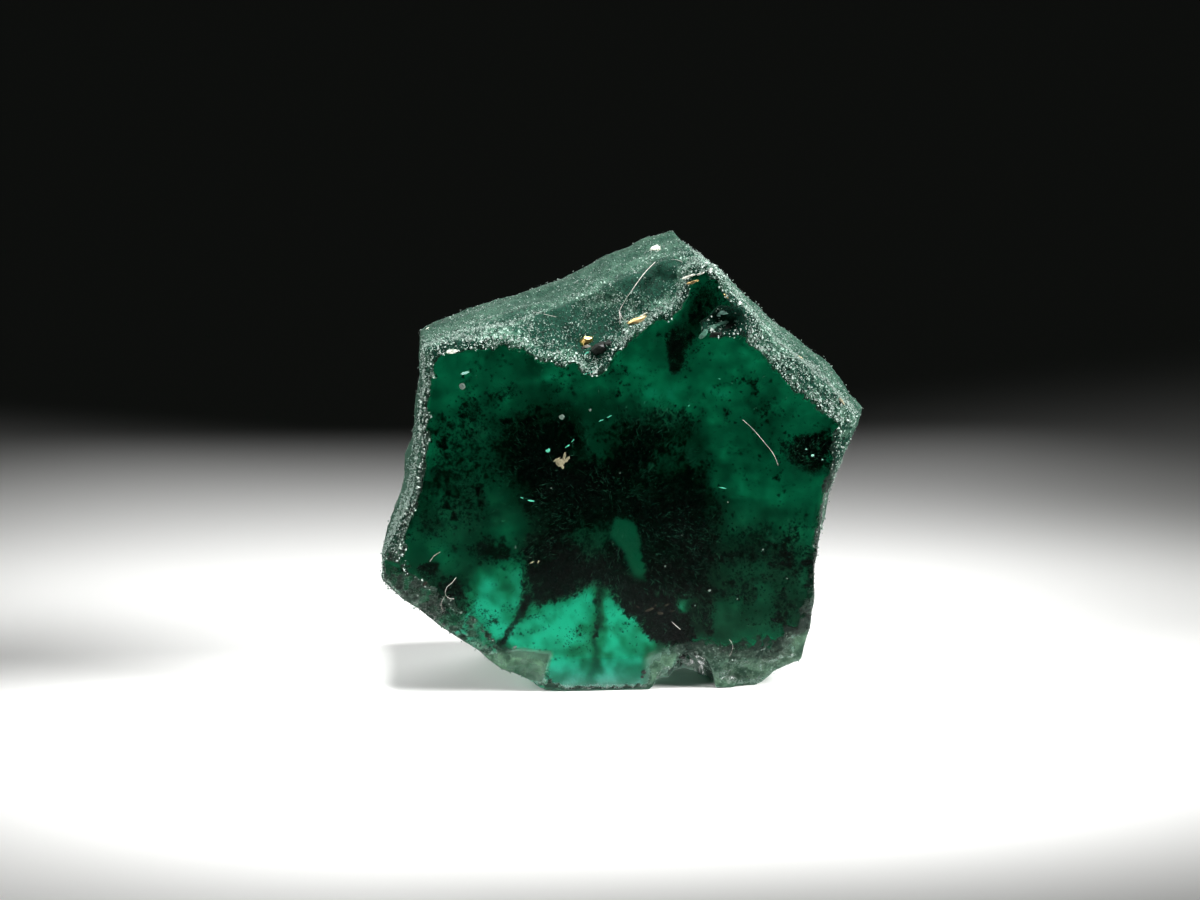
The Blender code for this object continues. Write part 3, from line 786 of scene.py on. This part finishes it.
def frost_relief(places, normals, gloss):
    """How far the etched skin stands out at each place, in millimetres, rougher beside the clean face."""
    relief = []
    for place in map(Vector, places):
        swell = noise.fractal(place * 2.2, 0.9, NOISE_STEP, 3)
        grain = noise.noise(place * 8.0) + 0.6 * noise.noise(place * 15.0 + Vector((3.1, 5.2, 8.8)))
        relief.append(FROST_SWELL * swell + FROST_GRAIN * grain)
    height = places[:, 2]
    facing = rise(-normals[:, 1], *FRONT_FACING)
    relief = np.array(relief) * (1 - gloss) * (1 - 0.5 * facing) * np.clip(height / 3, 0.35, 1)
    rim = np.flatnonzero((gloss < CLEAN_GLOSS) & (places[:, 1] < CRUMB_REACH))
    near = np.exp(-distance_to(places[rim], places[gloss > CLEAN_GLOSS]) / RIM_CRUMBLE_REACH)
    crumbs = fractal_noise(places[rim], scale=11.0, octaves=2, seed=31)
    relief[rim] += RIM_CRUMBLE * np.clip(height[rim] / 2 - 0.7, 0.1, 1) * near * crumbs * (1 - gloss[rim])
    return relief


def mark_skin(mesh, places, normals, gloss):
    """Sets the attributes of the skin that its material reads."""
    x, z = places[:, 0], places[:, 2]
    forward = -normals[:, 1]
    thin = [(soft, 1, corners) for soft, _, corners in THIN_FROST]
    chips = rise(forward, *CHIP_MARK_FACING) * zone_most(x, z, thin)
    rim = rise(forward, *FRONT_FACING) * (1 - zone_share(x, z, PALE_RIM, PALE_RIM_SOFT))
    set_attribute(mesh, "gloss", gloss)
    # Partly painted light and shade: bright over the foot, dim higher up, dark behind the core
    set_attribute(mesh, "light", back_light(places) ** LIGHT_POWER)
    set_attribute(mesh, "back", rise(-forward, *BACK_FACING))
    set_attribute(mesh, "front", np.maximum(rim, chips))
    set_attribute(mesh, "side", rise(-normals[:, 0], *SIDE_FACING))
    set_attribute(mesh, "dark", dark_and_shaded_frost(places))
    set_attribute(mesh, "haze", zone_most(x, z, HAZE_ZONES) * rise(forward, *HAZE_FACING))
    set_attribute(mesh, "foot", rise(-normals[:, 2], *FOOT_FACING) * rise(-z, -FOOT_TOP, FOOT_FADE))


def make_crystal():
    """The whole stone, see-through, with its frosted skin."""
    mesh = crystal_skin()
    places = vertex_array(mesh, "co")
    normals = vertex_array(mesh, "normal")
    gloss = gloss_of(places, normals)
    places = places + normals * frost_relief(places, normals, gloss)[:, None]
    places[:, 2] = np.maximum(places[:, 2], 0.0)
    mesh.vertices.foreach_set("co", (places * MM).ravel())
    mark_skin(mesh, places, normals, gloss)
    mesh.update()
    mesh.materials.append(emerald_material())
    crystal = new_object("crystal", mesh)
    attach(crystal, "root")
    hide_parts("emerald_crystal")
    return mesh


class SkinPattern:
    """What the emerald's colours, cover and relief share: the skin's marks, grain and brightness."""

    def __init__(self, t):
        self.place = t.millimetres()
        self.gloss, self.light, self.dark, self.haze = map(t.attribute, ("gloss", "light", "dark", "haze"))
        self.back, self.front, self.side, self.foot = map(t.attribute, ("back", "front", "side", "foot"))
        stretched = t.vector("MULTIPLY", self.place, FROST_STRETCH)
        grains = t.node("ShaderNodeTexVoronoi")
        t.feed(grains.inputs["Vector"], stretched)
        t.feed(grains.inputs["Scale"], GRAIN_CELLS)
        luck = t.node("ShaderNodeSeparateColor")
        t.feed(luck.inputs["Color"], grains.outputs["Color"])
        self.glint_luck = luck.outputs["Red"]
        self.tone_luck = luck.outputs["Green"]
        self.pit_luck = luck.outputs["Blue"]
        self.grain_edges = grains.outputs["Distance"]
        self.mottle = t.noise(stretched, scale=6.0, detail=5.0, rough=0.65)
        self.crumbs = t.noise(stretched, scale=15.0)
        drifts = t.noise(self.place, scale=2.6, detail=3.0)
        self.drifts = t.ramp(drifts, 0.40, 0.60, 0.30, 1.1)
        stipple = t.ramp(self.mottle, 0.35, 0.65, -0.3, 0.3)
        stipple = t.maths("ADD", t.fade(self.tone_luck, -0.10, 0.10), stipple)
        self.frost = t.ramp(t.maths("ADD", self.gloss, stipple), 0.36, 0.64, 1.0, 0.0)
        depth = t.node("ShaderNodeSeparateXYZ")
        t.feed(depth.inputs[0], self.place)
        self.depth = depth.outputs["Y"]
        self.far = t.ramp(self.depth, FAR_STARTS_Y, FAR_ENDS_Y)
        patches = t.ramp(t.noise(self.place, scale=1.1, detail=3.0), 0.3, 0.7, -0.16, 0.14)
        crumbs = t.ramp(self.crumbs, 0.3, 0.7, -0.10, 0.10)
        pale = t.maths("ADD", self.mottle, patches, crumbs, t.fade(self.far, 0.0, 0.06))
        self.pale = t.maths("SUBTRACT", pale, t.fade(self.dark, 0.0, 0.38))
        # Painted glints: random grains of the skin painted bright, fewer far back and on the left wall
        glitter = t.maths("ADD", self.glint_luck, t.ramp(self.pale, 0.30, 0.65, -0.20, 0.10))
        glitter = t.maths("SUBTRACT", glitter, t.fade(self.far, 0.0, 0.22), t.fade(self.side, 0.0, 0.07))
        self.sparkle = t.ramp(glitter, 0.86, 0.90)
        specks = t.ramp(t.noise(self.place, scale=8.0, detail=4.0, rough=0.7), 0.54, 0.60)
        self.specks = t.maths("MULTIPLY", specks, t.ramp(self.haze, 0.0, 0.6, 1.0, 0.3))


def etched_colour(t, skin):
    """A mottled grey-green ground with dark pits, and fine grains painted bright as glints."""
    ground = t.blend(t.ramp(skin.pale, 0.42, 0.62), DEEP_FROST, GREY_FROST)
    ground = t.blend(t.maths("MULTIPLY", skin.far, 0.55), ground, FAR_FROST)
    pits = t.maths("SUBTRACT", skin.pit_luck, t.ramp(skin.pale, 0.35, 0.65, -0.15, 0.15))
    pits = t.maths("MULTIPLY", t.ramp(pits, 0.72, 0.78), t.fade(skin.far, 0.9, 0.25))
    ground = t.blend(pits, ground, PIT_GREEN)
    return t.blend(skin.sparkle, ground, t.blend(skin.tone_luck, DIM_GLINT, BRIGHT_GLINT))


def veil_colour(t, skin):
    """The thin frost on the front: a haze with black specks and painted glints in it."""
    veil = t.blend(t.ramp(skin.pale, 0.42, 0.72), DARK_VEIL, GREY_VEIL)
    veil = t.blend(t.maths("MULTIPLY", skin.sparkle, 0.45), veil, VEIL_GLINT)
    clouds = t.maths("MULTIPLY", t.ramp(skin.mottle, 0.35, 0.62, 0.25, 1.2), skin.drifts)
    veil = t.blend(t.maths("MULTIPLY", skin.haze, clouds), veil, HAZE_GREEN)
    return t.blend(skin.specks, veil, SPECK_BLACK)


def clear_face_colour(t, skin):
    """The tint of the clean front, which turns into a grey-green film where there is haze."""
    film = t.blend(t.ramp(skin.mottle, 0.38, 0.62), DARK_FILM, PALE_FILM)
    clear = t.blend(t.ramp(skin.haze, 0.0, 0.3), CLEAR_BERYL, HAZY_BERYL)
    return t.blend(t.ramp(skin.haze, 0.45, 0.85), clear, film)


def inner_tint(t, skin, frosted):
    """The skin's tint from inside: dark behind the core, clear at the windows, greener near the foot; the
    brightness over the foot and the dimness higher up are painted light and shade.
    """
    clear = t.node("ShaderNodeValToRGB")
    stops = clear.color_ramp.elements
    stops[0].color = (*SHUT_WINDOW, 1)
    stops[1].color = (*OPEN_WINDOW, 1)
    stops.new(HALF_WINDOW_AT).color = (*HALF_WINDOW, 1)
    t.feed(clear.inputs["Fac"], skin.light)
    clear = clear.outputs["Color"]
    back_grain = t.maths("MULTIPLY", skin.back, t.fade(skin.sparkle, 1.0, 0.5))
    near_foot = t.blend(t.ramp(skin.depth, FRONT_Y, FOOT_LIT_Y), FOOT_GREEN, clear)
    return t.blend(skin.foot, t.blend(back_grain, frosted, clear), near_foot)


def clear_share(t, skin):
    """How much of the skin is see-through, after the frost that covers it and the haze on the front."""
    thin = t.maths("MULTIPLY", skin.front, t.ramp(skin.haze, 0.3, 0.7, 0.62, 0.28))
    cover = t.maths("MULTIPLY", t.ramp(skin.pale, 0.30, 0.70, 0.94, 0.985), t.maths("SUBTRACT", 1.0, thin))
    glints = t.maths("MULTIPLY", skin.sparkle, t.fade(skin.front, 0.9, 0.5))
    specks = t.maths("MULTIPLY", skin.specks, t.fade(skin.front, 0.0, 0.85))
    cover = t.maths("MAXIMUM", cover, glints, specks)
    cover = t.maths("MULTIPLY", cover, t.fade(skin.back, 1.0, 0.12))
    etched = t.maths("MULTIPLY", t.ramp(skin.frost, 0.4, 1.0), t.fade(skin.foot, 1.0, 0.15))
    cover = t.maths("MULTIPLY", cover, etched)
    mist = t.maths("MULTIPLY", skin.haze, skin.haze, t.ramp(skin.mottle, 0.30, 0.65, 0.80, 0.97))
    mist = t.maths("MULTIPLY", mist, t.ramp(skin.drifts, 0.3, 1.1, 0.80, 1.0))
    return t.maths("SUBTRACT", 1.0, t.maths("MAXIMUM", cover, mist))


def skin_bump(t, skin):
    """Grain of the etched skin, and a slow waviness of all of it."""
    grain = t.maths("MULTIPLY", skin.grain_edges, 0.5)
    grain = t.maths("ADD", t.maths("MULTIPLY", skin.crumbs, 0.8), grain)
    etched = t.ramp(skin.gloss, 0.1, 0.8, 1.0, 0.0, smooth=True)
    worn = t.fade(t.maths("MAXIMUM", skin.front, skin.side), 1.0, 0.35)
    waves = t.maths("MULTIPLY", t.noise(skin.place, scale=0.9), 0.5)
    bump = t.node("ShaderNodeBump")
    bump.inputs["Strength"].default_value = BUMP_STRENGTH
    bump.inputs["Distance"].default_value = BUMP_HEIGHT * MM
    t.feed(bump.inputs["Height"], t.maths("ADD", t.maths("MULTIPLY", grain, etched, worn), waves))
    return bump.outputs["Normal"]


def emerald_material():
    """See-through green beryl, with frost where the skin is etched."""
    material, t, shader = new_material("emerald_beryl")
    skin = SkinPattern(t)
    frosted = t.blend(skin.front, etched_colour(t, skin), veil_colour(t, skin))
    frosted = inner_tint(t, skin, frosted)
    colour = t.blend(t.ramp(skin.frost, 0.0, 0.5), clear_face_colour(t, skin), frosted)
    t.feed(shader.inputs["Base Color"], colour)
    t.feed(shader.inputs["Transmission Weight"], clear_share(t, skin))
    roughness = t.maths("MAXIMUM", t.fade(skin.frost, FACE_ROUGH, FROST_ROUGH), skin.foot)
    t.feed(shader.inputs["Roughness"], roughness)
    t.feed(shader.inputs["Normal"], skin_bump(t, skin))
    shader.inputs["IOR"].default_value = BERYL_IOR
    shader.inputs["Specular IOR Level"].default_value = BERYL_SHEEN
    absorb = t.node("ShaderNodeVolumeAbsorption")
    absorb.inputs["Color"].default_value = GREEN_PASS
    absorb.inputs["Density"].default_value = GREEN_DEPTH
    t.feed(material.node_tree.nodes["Material Output"].inputs["Volume"], absorb.outputs["Volume"])
    return material


def plain_material(name, colour, rough, metal=0.0):
    """One opaque colour, unevenly darker in spots."""
    material, t, shader = new_material(name)
    spots = t.ramp(t.noise(t.millimetres(), scale=12.0), 0.35, 0.65)
    t.feed(shader.inputs["Base Color"], t.blend(spots, tuple(c * SPOT_SHADE for c in colour), colour))
    shader.inputs["Roughness"].default_value = rough
    shader.inputs["Metallic"].default_value = metal
    shader.inputs["Specular IOR Level"].default_value = BIT_SHEEN
    return material


def stone_tree():
    """The CAD stone as a search tree in millimetres."""
    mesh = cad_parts["emerald_crystal"].data
    corners = [v.co / MM for v in mesh.vertices]
    return BVHTree.FromPolygons(corners, [tuple(p.vertices) for p in mesh.polygons])


def inside_depth(tree, place):
    """How deep a place lies under the stone's surface, in millimetres; below 0 is outside."""
    near, normal, _, distance = tree.find_nearest(place)
    return distance if (place - near).dot(normal) < 0 else -distance


def under_view(x, z, depth):
    """The place that appears at a place of the front view from a depth behind the front."""
    return Vector((x - SIGHT_X * depth, FRONT_Y + depth, z - SIGHT_Z * depth))


def carbon_density(x, z, y):
    """How much carbon there is at places given by where they appear on the front, from about -1 to 2."""
    density = np.full_like(x, CARBON_NONE)
    for soft, value, start, corners in CARBON_ZONES:
        deep = np.clip((y - FRONT_Y - start) / CARBON_DEPTH_SOFT + 0.5, 0, 1)
        share = zone_share(x, z, corners, soft) * deep
        density = np.maximum(density, CARBON_NONE + share * (value - CARBON_NONE))
    for soft, value, corners in CARBON_WINDOWS:
        density = density - value * zone_share(x, z, corners, soft)
    spots = np.column_stack([x, y * 0.5, z])
    coarse = fractal_noise(spots, scale=1.5, octaves=3, seed=3)
    fine = fractal_noise(spots, scale=5.5, octaves=3, seed=4)
    return density + CARBON_COARSE * coarse + CARBON_FINE * fine


def carbon_points(tree, count, densities, size_range, depths, finer_in_front, seed):
    """Places and sizes of carbon flecks: none up to the first density, and sure from the second."""
    chance = np.random.default_rng(seed)
    x = chance.uniform(*CARBON_ACROSS, count)
    z = chance.uniform(*CARBON_UP, count)
    y = chance.uniform(FRONT_Y + depths[0], FRONT_Y + depths[1], count)
    luck = chance.random(count)
    sizes = size_range[0] + (size_range[1] - size_range[0]) * chance.random(count) ** 2
    kept = np.flatnonzero(carbon_density(x, z, y) > densities[0] + (densities[1] - densities[0]) * luck)
    depth = y - FRONT_Y
    if finer_in_front:
        # From 0.45 of their size at the front to all of it 1.3 millimetres in
        sizes *= np.clip(0.35 + 0.5 * depth, 0.45, 1)
    points = []
    for i in kept:
        place = under_view(x[i], z[i], depth[i])
        if inside_depth(tree, place) > sizes[i] * FLAKE_RADIUS + CARBON_SEALED:
            points.append((place, sizes[i]))
    return points


def flake_group():
    """A node group that puts an angular flake on every point, with a named size, flatness and seed."""
    group = bpy.data.node_groups.new("flakes_on_points", "GeometryNodeTree")
    kinds = {"Geometry": "Geometry", "Flatness": "Float", "Seed": "Int", "Material": "Material"}
    for name, kind in kinds.items():
        group.interface.new_socket(name, in_out="INPUT", socket_type="NodeSocket" + kind)
    group.interface.new_socket("Geometry", in_out="OUTPUT", socket_type="NodeSocketGeometry")
    t = Tree(group)
    given = t.node("NodeGroupInput")
    flake = t.node("GeometryNodeMeshCone")
    flake.inputs["Vertices"].default_value = 3
    flake.inputs["Radius Top"].default_value = 0.0
    flake.inputs["Radius Bottom"].default_value = FLAKE_RADIUS
    flake.inputs["Depth"].default_value = FLAKE_HEIGHT
    size = t.node("GeometryNodeInputNamedAttribute", data_type="FLOAT")
    size.inputs["Name"].default_value = "size"
    least = t.node("ShaderNodeCombineXYZ")
    t.feed(least.inputs["X"], FLAKE_LEAST_X)
    t.feed(least.inputs["Y"], FLAKE_LEAST_Y)
    t.feed(least.inputs["Z"], given.outputs["Flatness"])
    shape = t.node("FunctionNodeRandomValue", data_type="FLOAT_VECTOR")
    t.feed(shape.inputs["Min"], least.outputs[0])
    t.feed(shape.inputs["Max"], FLAKE_GREATEST)
    turn = t.node("FunctionNodeRandomValue", data_type="FLOAT_VECTOR")
    t.feed(turn.inputs["Max"], (math.tau, math.tau, math.tau))
    for chance in (shape, turn):
        t.feed(chance.inputs["Seed"], given.outputs["Seed"])
    place = t.node("GeometryNodeInstanceOnPoints")
    t.feed(place.inputs["Points"], given.outputs["Geometry"])
    t.feed(place.inputs["Instance"], flake.outputs["Mesh"])
    t.feed(place.inputs["Rotation"], turn.outputs["Value"])
    t.feed(place.inputs["Scale"], t.vector("SCALE", shape.outputs["Value"], size.outputs["Attribute"]))
    realize = t.node("GeometryNodeRealizeInstances")
    t.feed(realize.inputs[0], place.outputs[0])
    finish = t.node("GeometryNodeSetMaterial")
    t.feed(finish.inputs["Geometry"], realize.outputs[0])
    t.feed(finish.inputs["Material"], given.outputs["Material"])
    t.feed(t.node("NodeGroupOutput").inputs[0], finish.outputs[0])
    return group


def scatter_flakes(name, points, material, flatness, seed):
    """One joined mesh of flakes on the given places, riding on the stone."""
    mesh = bpy.data.meshes.new(name)
    mesh.from_pydata([place * MM for place, _ in points], [], [])
    set_attribute(mesh, "size", np.array([size * MM for _, size in points]))
    piece = new_object(name, mesh)
    flakes = piece.modifiers.new("flakes", "NODES")
    flakes.node_group = bpy.data.node_groups.get("flakes_on_points") or flake_group()
    sockets = flakes.node_group.interface.items_tree
    keys = {socket.name: socket.identifier for socket in sockets if socket.in_out == "INPUT"}
    flakes[keys["Flatness"]] = flatness
    flakes[keys["Seed"]] = seed
    flakes[keys["Material"]] = material
    made = mesh_of(piece)
    piece.modifiers.clear()
    piece.data = made
    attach(piece, "root")


def scatter_crumbs(skin):
    """Pale crumbs of frosted beryl along the rim of the glossy face, in clumps."""
    places = vertex_array(skin, "co") / MM
    normals = vertex_array(skin, "normal")
    gloss = get_attribute(skin, "gloss")
    spots = np.flatnonzero((gloss < 0.5) & (places[:, 1] < CRUMB_REACH) & (places[:, 2] > SCATTER_FLOOR))
    across, _, height = places[spots].T
    reach = distance_to(places[spots], places[gloss > 0.5])
    clumps = fractal_noise(places[spots], scale=1.6, octaves=3, seed=21)
    chance = np.random.default_rng(22)
    wanted = np.exp(-reach / CRUMB_SPREAD) * np.clip(0.6 + 0.9 * clumps, 0.06, 1.2) * CRUMB_SHARE
    # More at the left and high up, fewer near the foot and where the frost is dark
    wanted *= np.where(across < CRUMB_LEFT, 0.35, 0.06) + 0.7 * rise(height, 3.5, 2.5)
    wanted *= np.clip((height - 1.5) / 0.8, 0.12, 1)
    wanted *= 1 - 0.8 * dark_and_shaded_frost(places[spots])
    points = []
    for i in spots[chance.random(len(spots)) < wanted]:
        size = CRUMB_SMALL + (CRUMB_LARGE - CRUMB_SMALL) * chance.random() ** 3
        stray = Vector(chance.uniform(-SCATTER_STRAY, SCATTER_STRAY, 3))
        points.append((Vector(places[i]) + Vector(normals[i]) * size * 0.25 + stray, size))
    material = plain_material("pale_frost", PALE_FROST, rough=0.7)
    scatter_flakes("frost_crumbs", points, material, CRUMB_FLATNESS, 23)


def scatter_grains(skin):
    """Fine bright grains that stand up from the frosted skin, mostly near the front."""
    places = vertex_array(skin, "co") / MM
    normals = vertex_array(skin, "normal")
    frosted = get_attribute(skin, "gloss") < 0.3
    spots = np.flatnonzero(frosted & (normals[:, 1] < 0.5) & (places[:, 2] > SCATTER_FLOOR))
    clumps = fractal_noise(places[spots], scale=1.4, octaves=3, seed=51)
    clumps = clumps + 0.6 * fractal_noise(places[spots], scale=6.0, octaves=2, seed=52)
    chance = np.random.default_rng(53)
    wanted = GRAIN_SHARE * np.exp(-(places[spots, 1] - FRONT_Y) / GRAIN_SPREAD)
    wanted = wanted * np.clip(0.45 + clumps, 0.14, 1.4)
    # Most where the skin faces up, and few where the frost is dark
    upward = 0.12 + 0.88 * np.clip(2.5 * normals[spots, 2], 0, 1)
    wanted *= (1 - 0.85 * dark_and_shaded_frost(places[spots])) * upward
    kept = [i for i, share in zip(spots, wanted) for _ in range(GRAINS_AT_MOST) if chance.random() < share]
    points = []
    for i in kept:
        stray = Vector(chance.uniform(-SCATTER_STRAY, SCATTER_STRAY, 3))
        size = GRAIN_SMALL + (GRAIN_LARGE - GRAIN_SMALL) * chance.random() ** 2
        points.append((Vector(places[i]) + stray, size))
    material = plain_material("bright_frost", BRIGHT_FROST, rough=0.45)
    scatter_flakes("frost_grains", points, material, CRUMB_FLATNESS, 54)


def make_carbon():
    """Black carbon sealed in the stone, in flecks of each size."""
    tree = stone_tree()
    black = plain_material("black_carbon", CARBON_BLACK, rough=0.75)
    for name, count, densities, sizes, depths, finer_in_front, seed in CARBON_SIZES:
        points = carbon_points(tree, count, densities, sizes, depths, finer_in_front, seed)
        scatter_flakes(name, points, black, CARBON_FLATNESS, seed)


def needle(middle, along, length, width):
    """Corners and faces of one three-sided needle."""
    one = along.cross(Vector((0, 1, 0))).normalized()
    two = along.cross(one)
    ring = [middle + (one * math.cos(a) + two * math.sin(a)) * width for a in NEEDLE_TURNS]
    corners = [middle - along * length / 2, *ring, middle + along * length / 2]
    return corners, [(0, 2, 1), (0, 3, 2), (0, 1, 3), (4, 1, 2), (4, 2, 3), (4, 3, 1)]


def make_silk():
    """Fine, faint needles just under the front, most of them pointing out from the dark core."""
    chance = np.random.default_rng(71)
    tree = stone_tree()
    x = chance.uniform(*SILK_ACROSS, SILK_TRIES)
    z = chance.uniform(*SILK_UP, SILK_TRIES)
    depth = SILK_NEAREST + SILK_DEPTH * chance.random(SILK_TRIES) ** 1.5
    clumps = fractal_noise(np.column_stack([x, depth, z]), scale=1.3, octaves=3, seed=72)
    wanted = zone_most(x, z, SILK_ZONES) * np.clip(0.4 + 1.4 * clumps, 0.05, 1.3)
    parts = []
    for i in np.flatnonzero(chance.random(SILK_TRIES) < wanted):
        middle = under_view(x[i], z[i], depth[i])
        length = SILK_SHORT + (SILK_LONG - SILK_SHORT) * chance.random() ** 3
        if inside_depth(tree, middle) < length / 2 + SILK_SEALED:
            continue
        turn = math.atan2(z[i] - CORE_Z, x[i] - CORE_X) + chance.normal(0, SILK_STRAY)
        along = Vector((math.cos(turn), chance.normal(0, SILK_TILT), math.sin(turn))).normalized()
        parts.append(needle(middle, along, length, chance.uniform(SILK_THIN, SILK_THICK)))
    joined("green_silk", parts, plain_material("pale_silk", SILK_GREEN, rough=0.6))


def on_skin(tree, x, z):
    """The place and direction of the skin that the camera sees at a place of the front view."""
    on_front = Vector((x, FRONT_Y, z))
    place, normal, _, _ = tree.ray_cast(CAMERA_PLACE, (on_front - CAMERA_PLACE).normalized())
    if place is None:
        # Just past the outline: the nearest skin
        place, normal, _, _ = tree.find_nearest(on_front)
    return place, normal


def lump(place, normal, across, up, thick, turn, seed):
    """Corners and faces of one angular bit that lies on the skin."""
    ball = bmesh.new()
    bmesh.ops.create_icosphere(ball, subdivisions=2, radius=0.5)
    side = Vector((1, 0, 0)) - normal * normal.x
    side = Matrix.Rotation(turn, 3, normal) @ side.normalized()
    upward = normal.cross(side)
    for vertex in ball.verts:
        bumps = noise.fractal(vertex.co * 3.1 + Vector((seed, 2.7, 0.3)), NOISE_FADE, NOISE_STEP, 3)
        shape = side * vertex.co.x * across + upward * vertex.co.y * up + normal * vertex.co.z * thick
        vertex.co = place + shape * (1 + BIT_ROUGH * bumps)
    corners = [v.co.copy() for v in ball.verts]
    faces = [tuple(v.index for v in face.verts) for face in ball.faces]
    ball.free()
    return corners, faces


def joined(name, parts, material, smooth=False):
    """One piece from lists of corners and faces in millimetres, riding on the stone."""
    corners, faces = [], []
    for some_corners, some_faces in parts:
        faces += [tuple(len(corners) + index for index in face) for face in some_faces]
        corners += some_corners
    mesh = bpy.data.meshes.new(name)
    mesh.from_pydata([corner * MM for corner in corners], [], faces)
    mesh.polygons.foreach_set("use_smooth", [smooth] * len(faces))
    mesh.materials.append(material)
    piece = new_object(name, mesh)
    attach(piece, "root")


def smooth_line(knots):
    """Places along a smooth curve through all the knots."""
    knots = [2 * knots[0] - knots[1]] + knots + [2 * knots[-1] - knots[-2]]
    line = []
    for a, b, c, d in zip(knots, knots[1:], knots[2:], knots[3:]):
        square = 2 * a - 5 * b + 4 * c - d
        cube = 3 * b - a - 3 * c + d
        for step in range(FIBRE_STEPS):
            u = step / FIBRE_STEPS
            line.append(0.5 * (2 * b + (c - a) * u + square * u * u + cube * u**3))
    return line + [knots[-2]]


def fibre(tree, path, radius, lift):
    """Corners and faces of a thin thread that follows a path of the front view, a little off the skin."""
    knots = [on_skin(tree, x, z)[0] for x, z in path]
    line = smooth_line([place + (CAMERA_PLACE - place).normalized() * lift for place in knots])
    corners, faces = [], []
    for index, middle in enumerate(line):
        along = (line[min(index + 1, len(line) - 1)] - line[max(index - 1, 0)]).normalized()
        one = along.cross(Vector((0.1, -1, 0.2))).normalized()
        two = along.cross(one)
        width = radius * (0.55 + 0.3 * noise.noise(middle * 6))
        for angle in np.arange(FIBRE_SIDES) * math.tau / FIBRE_SIDES:
            corners.append(middle + (one * math.cos(angle) + two * math.sin(angle)) * width)
    for ring in range(0, len(corners) - FIBRE_SIDES, FIBRE_SIDES):
        for side in range(FIBRE_SIDES):
            a = ring + side
            b = ring + (side + 1) % FIBRE_SIDES
            faces.append((a, b, b + FIBRE_SIDES, a + FIBRE_SIDES))
    faces.append(tuple(range(FIBRE_SIDES))[::-1])
    faces.append(tuple(range(len(corners) - FIBRE_SIDES, len(corners))))
    return corners, faces


def make_bits():
    """Pyrite, chips, dust and lint that lie on the stone, and bits painted as glints, highlights,
    reflections and shadows.
    """
    tree = stone_tree()
    for name, (colour, rough, metal) in BIT_LOOKS.items():
        parts = []
        for order, (x, z, across, up, thick, turn) in enumerate(BITS[name]):
            place, normal = on_skin(tree, x, z)
            parts.append(lump(place, normal, across, up, thick, math.radians(turn), order * 1.7))
        joined(name, parts, plain_material(name + "_look", colour, rough, metal))
    threads = [fibre(tree, path, radius, lift) for path, radius, lift in FIBRES]
    joined("lint_fibres", threads, plain_material("lint", LINT_GREY, rough=0.8), smooth=True)


def studio_look(name, colour, rough, sheen):
    """One even colour for a sheet of the studio."""
    material, _, shader = new_material(name)
    shader.inputs["Base Color"].default_value = (*colour, 1)
    shader.inputs["Roughness"].default_value = rough
    shader.inputs["Specular IOR Level"].default_value = sheen
    return material


def studio_sheet(name, outline, place, look):
    """A flat sheet of the studio, made from its outline."""
    mesh = bpy.data.meshes.new(name)
    outline.to_mesh(mesh)
    outline.free()
    mesh.materials.append(look)
    sheet = new_object(name, mesh)
    sheet.location = Vector(place) * MM
    return sheet


def make_floor():
    """A plain pale floor, just under the stone."""
    outline = bmesh.new()
    bmesh.ops.create_circle(outline, cap_ends=True, segments=96, radius=FLOOR_RADIUS * MM)
    look = studio_look("pale_floor", FLOOR_PALE, rough=0.6, sheen=0.2)
    floor = studio_sheet("floor", outline, (0, 0, FLOOR_Z), look)


def make_dark_card():
    """A dark card lying in front of the stone, where only its glossy face mirrors it."""
    outline = bmesh.new()
    bmesh.ops.create_grid(outline, x_segments=1, y_segments=1, size=CARD_REACH * MM)
    look = studio_look("black_card", CARD_GREY, rough=1.0, sheen=0.0)
    card = studio_sheet("dark_card", outline, CARD_PLACE, look)
    card.visible_camera = card.visible_diffuse = card.visible_transmission = card.visible_shadow = False


def soft_light(name, place, aim, size, power, spread):
    """A box of light that the camera doesn't see."""
    lamp = bpy.data.lights.new(name, "AREA")
    lamp.shape = "RECTANGLE"
    lamp.size = size[0] * MM
    lamp.size_y = size[1] * MM
    lamp.energy = power
    lamp.spread = math.radians(spread)
    holder = new_object(name, lamp)
    holder.location = Vector(place) * MM
    holder.rotation_euler = (Vector(aim) - Vector(place)).to_track_quat("-Z", "Y").to_euler()
    holder.visible_camera = False


def make_lights():
    """Soft boxes over, beside and behind the stone, light up through its foot, and a dim room."""
    for light in SOFT_LIGHTS:
        soft_light(*light)
    world = bpy.data.worlds.new("dim_room")
    world.use_nodes = True
    world.node_tree.nodes["Background"].inputs["Color"].default_value = (*ROOM_LIGHT, 1)
    bpy.context.scene.world = world


def make_camera():
    """The photograph's view."""
    lens = bpy.data.cameras.new("camera")
    lens.lens = CAMERA_LENS
    lens.sensor_width = CAMERA_SENSOR
    lens.clip_start = CAMERA_NEAR * MM
    lens.clip_end = CAMERA_FAR * MM
    camera = new_object("camera", lens)
    camera.location = CAMERA_PLACE * MM
    camera.rotation_euler = (CAMERA_AIM - CAMERA_PLACE).to_track_quat("-Z", "Y").to_euler()
    bpy.context.scene.camera = camera


make_camera()
make_floor()
make_lights()
make_dark_card()
stone_skin = make_crystal()
scatter_crumbs(stone_skin)
scatter_grains(stone_skin)
make_carbon()
make_silk()
make_bits()
bpy.context.scene.view_settings.view_transform = "Standard"
